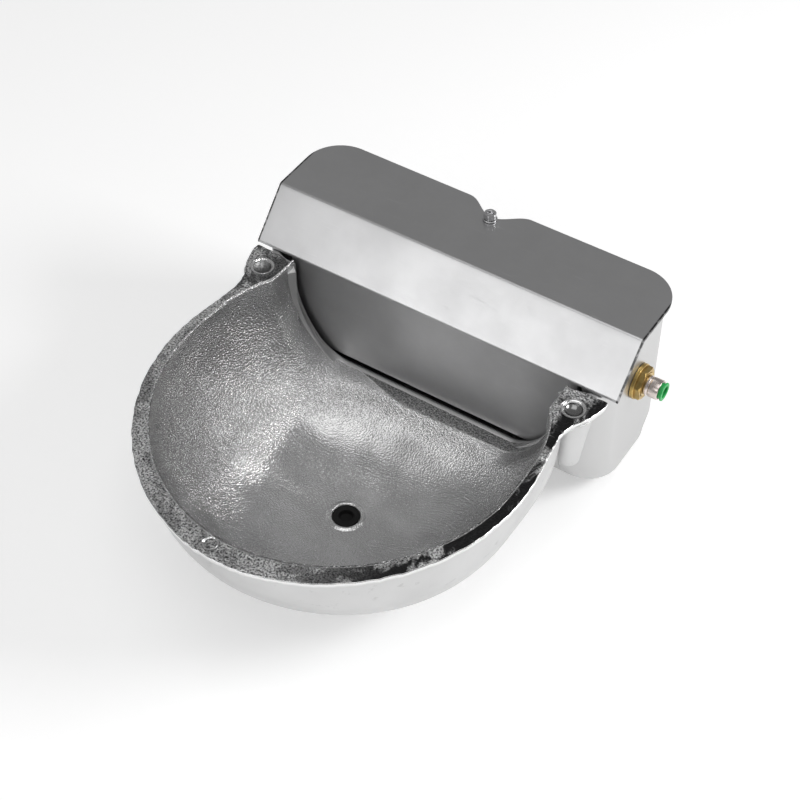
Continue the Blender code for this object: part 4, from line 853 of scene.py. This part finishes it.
def sheet_finish(look):
    """Satin stainless sheet: a fine grain along the fold, faint mottling and small scratches."""
    f = Finish("brushed_stainless", metallic=1.0)
    grain = f.noise(1.0, 3.0, 0.6, 0.0, f.stretched(60.0, 1700.0, 1700.0))
    cloud = f.noise(26.0, 4.0, 0.6)
    fine = f.noise(1500.0, 2.0, 0.5)
    scratch = f.noise(1.0, 2.0, 0.5, 0.6, f.stretched(45.0, 520.0, 520.0)).ease(0.66, 0.72)
    colour = f.mix(cloud.ease(0.3, 0.7), tuple(look.sheet_colour), shade(look.sheet_colour, 0.93))
    colour = f.mix(scratch * 0.18, colour, shade(look.sheet_colour, 1.25))

    # The rougher baffle, and a painted reflection of shade on the sheet's cut ends: the ends and a strip beside
    # them are painted near black
    baffle = f.part("Z").ease(-0.0045, -0.0015, 1.0, 0.0)
    x = f.part("X")
    # Painted shade: near black on the cut ends, standing for the dark floor they reflect
    cut = x.math("ABSOLUTE").ease(COVER_HALF - 0.0015, COVER_HALF - 0.0010)
    colour = f.mix(cut * f.noise(260.0, 3.0).ease(0.34, 0.50, 0.45, 0.95), colour, (0.05, 0.05, 0.05))
    f.set("Base Color", colour)
    f.set("Roughness", 0.24 + 0.10 * cloud + 0.06 * grain + 0.05 * scratch + 0.12 * baffle)
    f.bump(grain + 0.5 * fine, 0.07, 0.0003)
    f.bump(cloud, 0.05, 0.0012)
    return f.material


def metal_finish(name, colour, roughness, scale=700.0, tarnish=0.25, relief=0.06):
    """Machined or plated metal: turning marks, soft tarnish and darker patches."""
    f = Finish(name, metallic=1.0)
    marks = f.noise(1.0, 2.0, 0.5, 0.0, f.stretched(scale * 2.2, scale * 0.25, scale * 0.25))
    cloud = f.noise(130.0, 4.0, 0.6)
    base = f.mix(cloud.ease(0.35, 0.7), tuple(colour), shade(colour, 1 - tarnish))
    base = f.mix(f.noise(310.0, 3.0, 0.6).ease(0.58, 0.70) * 0.35, base, shade(colour, 0.45))
    f.set("Base Color", base)
    f.set("Roughness", roughness + 0.14 * cloud + 0.05 * marks)
    f.bump(marks + cloud, relief, 0.0003)
    return f.material


def moulded_finish(name, colour, roughness, relief=0.12, scale=900.0, dirt=0.15):
    """Moulded plastic or rubber: a fine skin, slight colour drift and handling marks."""
    f = Finish(name)
    skin = f.noise(scale, 3.0, 0.6)
    cloud = f.noise(90.0, 4.0, 0.6)
    base = f.mix(cloud.ease(0.35, 0.7), tuple(colour), shade(colour, 1 - dirt))
    f.set("Base Color", base)
    f.set("Roughness", roughness + 0.16 * cloud + 0.06 * skin)
    f.bump(skin + 0.6 * cloud, relief, 0.0003)
    return f.material


# ---- Settings

def colour_setting(name, description, default):
    return bpy.props.FloatVectorProperty(name=name, description=description, default=default, size=3,
                                         min=0.0, max=1.0, subtype="COLOR")


def length_setting(name, description, default):
    return bpy.props.FloatProperty(name=name, description=description, default=default, min=0.0,
                                   unit="LENGTH", subtype="DISTANCE", precision=5)


class CastingLook(bpy.types.PropertyGroup):
    """Sizes and colours of the casting."""

    edge_rounding: length_setting("Edge rounding", "Radius of the rim's inner edge", 0.0013)
    wave_height: length_setting("Wave height", "Unevenness of the wall inside the bowl", 0.00022)
    hammer_size: length_setting("Hammer mark size", "Size of the marks inside the bowl", 0.0014)
    hammer_depth: length_setting("Hammer mark depth", "Depth of the marks inside the bowl", 0.00055)
    inside_colour: colour_setting("Inside colour", "Aluminium inside the bowl", (0.60, 0.60, 0.60))
    rim_colour: colour_setting("Rim colour", "Dark skin on the rim and ears", (0.075, 0.075, 0.077))
    outside_colour: colour_setting("Outside colour", "Satin aluminium outside", (0.62, 0.62, 0.62))


class CoverLook(bpy.types.PropertyGroup):
    """Sizes and colours of the cover and its screw."""

    sheet: length_setting("Sheet thickness", "Thickness of the folded sheet", SHEET)
    edge_rounding: length_setting("Edge rounding", "Radius of the sheet's edges", 0.00055)
    sheet_colour: colour_setting("Sheet colour", "Satin stainless steel", (0.56, 0.56, 0.565))
    screw_colour: colour_setting("Screw colour", "Bright stainless steel", (0.70, 0.70, 0.71))


class FittingLook(bpy.types.PropertyGroup):
    """Colours of the water fitting, the valve, the float and the plug."""

    brass_colour: colour_setting("Brass colour", "Lock nut, valve and lever", (0.60, 0.42, 0.15))
    nickel_colour: colour_setting("Nickel colour", "Coupling shell", (0.74, 0.66, 0.62))
    collet_colour: colour_setting("Collet colour", "Release collet", (0.02, 0.46, 0.10))
    float_colour: colour_setting("Float colour", "Float and nozzle", (0.80, 0.80, 0.77))
    rubber_colour: colour_setting("Rubber colour", "Drain plug and seals", (0.012, 0.012, 0.012))


class StageLook(bpy.types.PropertyGroup):
    """Floor, light and the camera's place."""

    floor_colour: colour_setting("Floor colour", "Plain pale floor", (0.93, 0.93, 0.93))
    floor_lift: bpy.props.FloatProperty(name="Floor lift", description="Share of white added to the floor as seen",
                                        default=0.30, min=0.0, max=1.0, subtype="FACTOR")
    sky_level: bpy.props.FloatProperty(name="Room light", description="Even light from all round",
                                       default=0.30, min=0.0, max=2.0)
    bearing: bpy.props.FloatProperty(name="Camera bearing", description="Angle to the right of straight ahead",
                                     default=math.radians(32.9), subtype="ANGLE", unit="ROTATION")
    rise: bpy.props.FloatProperty(name="Camera rise", description="Angle above the horizon",
                                  default=math.radians(47.3), subtype="ANGLE", unit="ROTATION")
    distance: length_setting("Camera distance", "From the camera to what it looks at", 1.1225)


# ---- Operators

class DRINKER_OT_bowl(bpy.types.Operator):
    """Make the bowl with its rim, ears and drain"""

    bl_idname = "drinker.bowl"
    bl_label = "Bowl and rim"

    def execute(self, context):
        look = context.scene.drinker_casting
        material = cast_finish(look)
        points, skin = bowl_surface(look.edge_rounding, look.wave_height)
        mesh = grid_mesh("bowl_shell", points, True, True, attributes={"skin": skin})
        add_piece("bowl_shell", mesh, "casting", material, 40, ("bowl_casting",))
        for side, label in ((-1, "left"), (1, "right")):
            profile = rounded_profile([
                (-0.048, 0.0, 0), (-0.048, 0.0066, 0.003), (-0.020, 0.0102, 0.004), (-0.003, 0.0126, 0),
                (-0.003, 0.0, 0)])
            mesh = turned(f"ear_post_{label}", profile, "Z", (side * EAR_X, EAR_Y, 0), 64, dense=3)
            add_cast_part(f"ear_post_{label}", mesh, material, 2.0, 35)
        return {"FINISHED"}


class DRINKER_OT_chamber(bpy.types.Operator):
    """Make the float chamber with its bolt holes, pads and the boss for the cover's screw"""

    bl_idname = "drinker.chamber"
    bl_label = "Float chamber"

    def execute(self, context):
        # This is the frame's own plain material of that name, not the finish that the bowl wears
        material = bpy.data.materials["cast_aluminium"]
        points, skin = chamber_surface()
        mesh = grid_mesh("chamber_shell", points, False, True, attributes={"skin": skin})
        chamber = add_piece("chamber_shell", mesh, "casting", material, 40, ("bowl_casting",))
        cutters = []
        for side, label in ((-1, "left"), (1, "right")):
            middle = (side * BOLT_X, 0, BOLT_Z)
            profile = np.array([(-0.012, 0.0), (-0.012, BOLT_RADIUS), (0.004, BOLT_RADIUS), (0.004, 0.0)])
            cutter = bpy.data.objects.new("bolt cutter", turned("bolt cutter", profile, "Y", middle, 48))
            context.scene.collection.objects.link(cutter)
            cutters.append(cutter)
            cut = chamber.modifiers.new("bolt hole", "BOOLEAN")
            cut.operation = "DIFFERENCE"
            cut.object = cutter
            ring = rounded_profile([(-0.0070, BOLT_RADIUS, 0.0004), (-0.0070, 0.011, 0.0008), (-0.003, 0.0122, 0),
                                    (-0.003, BOLT_RADIUS, 0)])
            add_cast_part(f"bolt_pad_{label}", turned("bolt pad", ring, "Y", middle, 64, dense=2), material)
        mesh = applied(chamber)
        mesh.set_sharp_from_angle(angle=math.radians(40))
        for cutter in cutters:
            old = cutter.data
            bpy.data.objects.remove(cutter)
            bpy.data.meshes.remove(old)
        pad = rounded_profile([(0.1255, 0.0085, 0.0003), (0.1255, 0.0155, 0.0008), (0.130, 0.0165, 0),
                               (0.130, 0.0085, 0)])
        add_cast_part("inlet_pad", turned("inlet_pad", pad, "X", INLET, 64, dense=2), material)
        boss = rounded_profile([(-0.0077, 0.0, 0), (-0.0012, 0.0065, 0.002), (CASTING_TOP, 0.0065, 0.0006),
                                (CASTING_TOP, 0.0028, 0.0004), (0.0046, 0.0028, 0), (0.0018, 0.0, 0)])
        add_cast_part("screw_boss", turned("screw_boss", boss, "Z", (0, SCREW_Y, 0), 64, dense=2), material)

        # The web between the boss and the rear wall: a block whose plan is a superellipse
        z = np.linspace(-0.001, 0.0125, 8)
        angle = np.linspace(0, 2 * math.pi, 24, endpoint=False)
        zz, aa = np.meshgrid(z, angle, indexing="ij")
        x = 0.0032 * np.sign(np.cos(aa)) * np.abs(np.cos(aa)) ** 0.35
        y = -0.008 + 0.0058 * np.sign(np.sin(aa)) * np.abs(np.sin(aa)) ** 0.35
        ends = np.stack([x[:1] * 0, y[:1] * 0 - 0.008, zz[:1]], axis=-1)
        top = np.stack([x[:1] * 0, y[:1] * 0 - 0.008, zz[-1:]], axis=-1)
        web = np.concatenate([ends, np.stack([x, y, zz], axis=-1), top])
        add_cast_part("screw_web", grid_mesh("screw_web", web, False, True), material)
        return {"FINISHED"}


class DRINKER_OT_cover(bpy.types.Operator):
    """Make the folded sheet cover"""

    bl_idname = "drinker.cover"
    bl_label = "Folded cover"

    def execute(self, context):
        look = context.scene.drinker_cover
        material = sheet_finish(look)
        mesh = grid_mesh("folded_cover", cover_surface(), closed=False)
        if mesh.polygons[len(mesh.polygons) // 8].normal.z < 0:
            mesh.flip_normals()
        cover = add_piece("folded_cover", mesh, "cover", material, 0, ("cover",))
        wall = cover.modifiers.new("wall", "SOLIDIFY")
        wall.thickness = look.sheet
        wall.offset = -1
        wall.use_even_offset = True
        round_edge = cover.modifiers.new("round edge", "BEVEL")
        round_edge.width = look.edge_rounding
        round_edge.segments = 3
        round_edge.limit_method = "ANGLE"
        round_edge.angle_limit = math.radians(60)
        applied(cover).set_sharp_from_angle(angle=math.radians(50))
        return {"FINISHED"}


class DRINKER_OT_screw(bpy.types.Operator):
    """Make the cover's hexagon screw and washer"""

    bl_idname = "drinker.screw"
    bl_label = "Cover screw"

    def execute(self, context):
        look = context.scene.drinker_cover
        material = metal_finish("bright_steel", look.screw_colour, 0.20)
        place = (0, SCREW_Y, 0)
        ring = rounded_profile([(0.0289, 0.0028, 0.0002), (0.0289, 0.005, 0.0004), (0.0299, 0.005, 0.0004),
                                (0.0299, 0.0028, 0.0002)])
        mesh = turned("screw_washer", ring, "Z", place, 72)
        add_piece("screw_washer", mesh, "cover", material, 35, ("cover_washer",))
        low, high = 0.0302, 0.0340
        profile = np.array([(0.0102, 0.0), (0.0102, 0.0016), (0.0112, 0.0025), (low, 0.0025), (low, 0.004),
                            (low + 0.0004, 0.00400001), (0.0329, 0.00400001), (0.0333, 0.00400001),
                            (0.0337, 0.00400001), (high, 0.0039), (high, 0.0034), (high, 0.0027),
                            (high - 0.0002, 0.0023), (high - 0.0019, 0.0021), (high - 0.0022, 0.0)])
        mesh = turned("hex_screw", profile, "Z", place, 96, hexagon_at(0.008, 0.0330, high, 0.3))
        add_piece("hex_screw", mesh, "cover_screw", material, 30, ("cover_screw",))
        return {"FINISHED"}


class DRINKER_OT_fitting(bpy.types.Operator):
    """Make the lock nut, the push-in coupling and its collet"""

    bl_idname = "drinker.fitting"
    bl_label = "Water fitting"

    def execute(self, context):
        look = context.scene.drinker_fitting
        brass = metal_finish("brass", look.brass_colour, 0.22, tarnish=0.35, relief=0.10)
        nickel = metal_finish("nickel", look.nickel_colour, 0.12, tarnish=0.15)
        green = moulded_finish("green_plastic", look.collet_colour, 0.30)
        face = 0.1323
        profile = rounded_profile([
            (face, 0.0085, 0.0003), (face, 0.0125, 0.0005), (0.1348, 0.0125, 0.0005), (0.1352, 0.01026, 0.0),
            (0.1366, 0.01026, 0), (0.1380, 0.01026, 0.0), (face + 0.0065, 0.01026, 0), (face + 0.0065, 0.0090, 0),
            (face + 0.0060, 0.0085, 0)])
        mesh = turned("flanged_nut", profile, "X", INLET, 144,
                      lambda a, x, r: np.where(r < 0.0115, hexagon_at(0.0205, 0.1378, 0.1388, 0.21)(a, x, r), r),
                      dense=3)
        add_piece("flanged_nut", mesh, "casting", brass, 28, ("inlet_lock_nut",))
        shell = rounded_profile([
            (0.1328, 0.0026, 0), (0.1328, 0.0047, 0), (0.1393, 0.0047, 0), (0.1393, 0.0070, 0.0006),
            (0.1414, 0.0070, 0.0002), (0.1417, 0.0066, 0.0002), (0.1424, 0.0066, 0.0002), (0.1427, 0.0070, 0.0002),
            (0.1493, 0.0070, 0.0006), (0.1493, 0.0058, 0.0003), (0.1408, 0.0058, 0), (0.1408, 0.0026, 0)])
        mesh = turned("coupling_shell", shell, "X", INLET, 96, dense=2)
        add_piece("coupling_shell", mesh, "casting", nickel, 30, ("inlet_coupling",))
        collet = rounded_profile([
            (0.1463, 0.0041, 0), (0.1463, 0.0054, 0), (0.1508, 0.0054, 0), (0.1508, 0.0064, 0.0003),
            (0.1520, 0.0064, 0.0005), (0.1520, 0.0041, 0.0006)])
        mesh = turned("green_collet", collet, "X", INLET, 96, dense=2)
        add_piece("green_collet", mesh, "collet", green, 30, ("release_collet",))
        return {"FINISHED"}


class DRINKER_OT_plug(bpy.types.Operator):
    """Make the rubber plug in the bowl's drain"""

    bl_idname = "drinker.plug"
    bl_label = "Drain plug"

    def execute(self, context):
        look = context.scene.drinker_fitting
        rubber = moulded_finish("black_rubber", look.rubber_colour, 0.55, relief=0.25, scale=700.0)
        rubber.node_tree.nodes["Principled BSDF"].inputs["Specular IOR Level"].default_value = 0.15
        profile = rounded_profile([
            (-0.1080, 0.0, 0), (-0.1080, 0.00755, 0.0006), (-0.1014, 0.00915, 0.0008), (-0.1014, 0.0050, 0.0007),
            (-0.1052, 0.0046, 0.0008), (-0.1052, 0.0, 0)], 5)
        mesh = turned("rubber_plug", profile, "Z", (0, -WALL_TO_CENTRE, 0), 96, dense=2)
        add_piece("rubber_plug", mesh, "drain_plug", rubber, 45, ("drain_plug",))
        return {"FINISHED"}


class DRINKER_OT_valve(bpy.types.Operator):
    """Give the float valve's own pieces their finishes"""

    bl_idname = "drinker.valve"
    bl_label = "Float valve"

    def execute(self, context):
        look = context.scene.drinker_fitting
        # The three found by name are the frame's own plain materials, and only the white one is made here
        white = moulded_finish("white_plastic", look.float_colour, 0.38)
        finishes = {
            "brass": bpy.data.materials["brass"],
            "bright_steel": bpy.data.materials["bright_steel"],
            "black_rubber": bpy.data.materials["black_rubber"],
            "white_plastic": white,
        }
        slots = {entry["node"]: entry["material_slot"] for entry in frame["record"]["subparts"]}
        shown = [
            "valve_body", "valve_nozzle", "valve_plunger", "plunger_seal", "lever_pin", "lever_pin_clip",
            "inlet_washer", "hose_seal", "hose_grip_ring", "float_lever", "float_rod", "float_body",
            "float_washer_near", "float_washer_far", "float_nut_near", "float_nut_far",
        ]
        for name in shown:
            node = frame["nodes"][name]
            node.data.materials.clear()
            node.data.materials.append(finishes[slots[name]])
        return {"FINISHED"}


# Each lamp: name, place, size and power. All of them face LAMPS_FACE
LAMPS = (
    ("side", (0.90, 0.30, 0.62), (0.50, 0.34), 7.0),
    ("front", (-0.47, -1.61, 1.00), (1.10, 0.75), 5.2),
    ("top", (0.1, -0.5, 2.2), (1.7, 1.7), 12.0),
)
LAMPS_FACE = (0, -0.15, -0.03)
CAMERA_FACES = (0.0243, -0.162, 0)
LENS = 81.0
SENSOR = 36.0


class DRINKER_OT_stage(bpy.types.Operator):
    """Set the floor, the soft light and the camera"""

    bl_idname = "drinker.stage"
    bl_label = "Floor, light and camera"

    def execute(self, context):
        look = context.scene.drinker_stage
        self.add_floor(look)
        self.set_world(context.scene, look)
        self.add_lamps(context.scene)
        self.add_camera(context.scene, look)
        context.scene.view_settings.view_transform = "Standard"
        return {"FINISHED"}

    def add_floor(self, look):
        f = Finish("floor", roughness=0.85)
        f.set("Base Color", tuple(look.floor_colour))
        seen = f.node("ShaderNodeLightPath", {}, [], "Is Camera Ray") + f.node(
            "ShaderNodeLightPath", {}, [], "Is Glossy Ray")
        f.shader.inputs["Emission Strength"].default_value = 1.0
        f.set("Emission Color", f.mix(seen.clamp() * look.floor_lift, (0, 0, 0), (1, 1, 1)))
        span = np.linspace(-6.0, 6.0, 9)
        x, y = np.meshgrid(span, span, indexing="ij")
        points = np.stack([x, y, np.full_like(x, BASE - 0.0003)], axis=-1)
        mesh = grid_mesh("floor", points, closed=False)
        if mesh.polygons[0].normal.z < 0:
            mesh.flip_normals()
        mesh.materials.append(f.material)
        floor = bpy.data.objects.new("floor", mesh)
        bpy.context.scene.collection.objects.link(floor)

    def set_world(self, scene, look):
        world = bpy.data.worlds.new("studio")
        world.use_nodes = True
        scene.world = world
        tree = world.node_tree
        back = tree.nodes["Background"]
        back.inputs["Strength"].default_value = 1.0
        path = tree.nodes.new("ShaderNodeLightPath")
        mix = tree.nodes.new("ShaderNodeMix")
        mix.data_type = "RGBA"
        colours = [s for s in mix.inputs if s.type == "RGBA"]
        level = look.sky_level
        colours[0].default_value = (level, level, level, 1)
        colours[1].default_value = (1, 1, 1, 1)
        tree.links.new(path.outputs["Is Camera Ray"], mix.inputs["Factor"])
        tree.links.new([s for s in mix.outputs if s.type == "RGBA"][0], back.inputs["Color"])

    def add_lamps(self, scene):
        for name, spot, size, power in LAMPS:
            light = bpy.data.lights.new(name, "AREA")
            light.shape = "RECTANGLE"
            light.size, light.size_y = size
            light.energy = power
            lamp = bpy.data.objects.new(name, light)
            scene.collection.objects.link(lamp)
            lamp.location = spot
            aim = Vector(LAMPS_FACE) - Vector(spot)
            lamp.rotation_euler = aim.to_track_quat("-Z", "Y").to_euler()

    def add_camera(self, scene, look):
        camera = bpy.data.cameras.new("camera")
        camera.lens = LENS
        camera.sensor_width = SENSOR
        item = bpy.data.objects.new("camera", camera)
        scene.collection.objects.link(item)
        back = Vector((math.sin(look.bearing) * math.cos(look.rise),
                       -math.cos(look.bearing) * math.cos(look.rise), math.sin(look.rise)))
        right = Vector((math.cos(look.bearing), math.sin(look.bearing), 0))
        up = back.cross(right)
        turn = Matrix((right, up, back)).transposed().to_4x4()
        item.matrix_world = Matrix.Translation(Vector(CAMERA_FACES) + back * look.distance) @ turn
        scene.camera = item


class DRINKER_PT_panel(bpy.types.Panel):
    """The drinking bowl's pieces and settings"""

    bl_idname = "DRINKER_PT_panel"
    bl_label = "Drinking bowl"
    bl_space_type = "VIEW_3D"
    bl_region_type = "UI"
    bl_category = "Drinker"

    def draw(self, context):
        for step in STEPS:
            self.layout.operator(step.bl_idname, text=step.bl_label)
        for label in SETTINGS:
            box = self.layout.box()
            group = getattr(context.scene, label)
            for key in group.__annotations__:
                box.prop(group, key)


STEPS = (DRINKER_OT_bowl, DRINKER_OT_chamber, DRINKER_OT_cover, DRINKER_OT_screw, DRINKER_OT_fitting,
         DRINKER_OT_plug, DRINKER_OT_valve, DRINKER_OT_stage)
SETTINGS = {
    "drinker_casting": CastingLook,
    "drinker_cover": CoverLook,
    "drinker_fitting": FittingLook,
    "drinker_stage": StageLook,
}


def register():
    for kind in (*SETTINGS.values(), *STEPS, DRINKER_PT_panel):
        bpy.utils.register_class(kind)
    for label, kind in SETTINGS.items():
        setattr(bpy.types.Scene, label, bpy.props.PointerProperty(type=kind))


def unregister():
    for label in SETTINGS:
        delattr(bpy.types.Scene, label)
    for kind in reversed((*SETTINGS.values(), *STEPS, DRINKER_PT_panel)):
        bpy.utils.unregister_class(kind)


def plain(corners):
    return [[float(value) for value in corner] for corner in corners]


def main():
    register()
    bpy.ops.drinker.stage()
    bpy.ops.drinker.bowl()
    bpy.ops.drinker.chamber()
    bpy.ops.drinker.cover()
    bpy.ops.drinker.screw()
    bpy.ops.drinker.fitting()
    bpy.ops.drinker.plug()
    bpy.ops.drinker.valve()


if __name__ == "__main__":
    main()
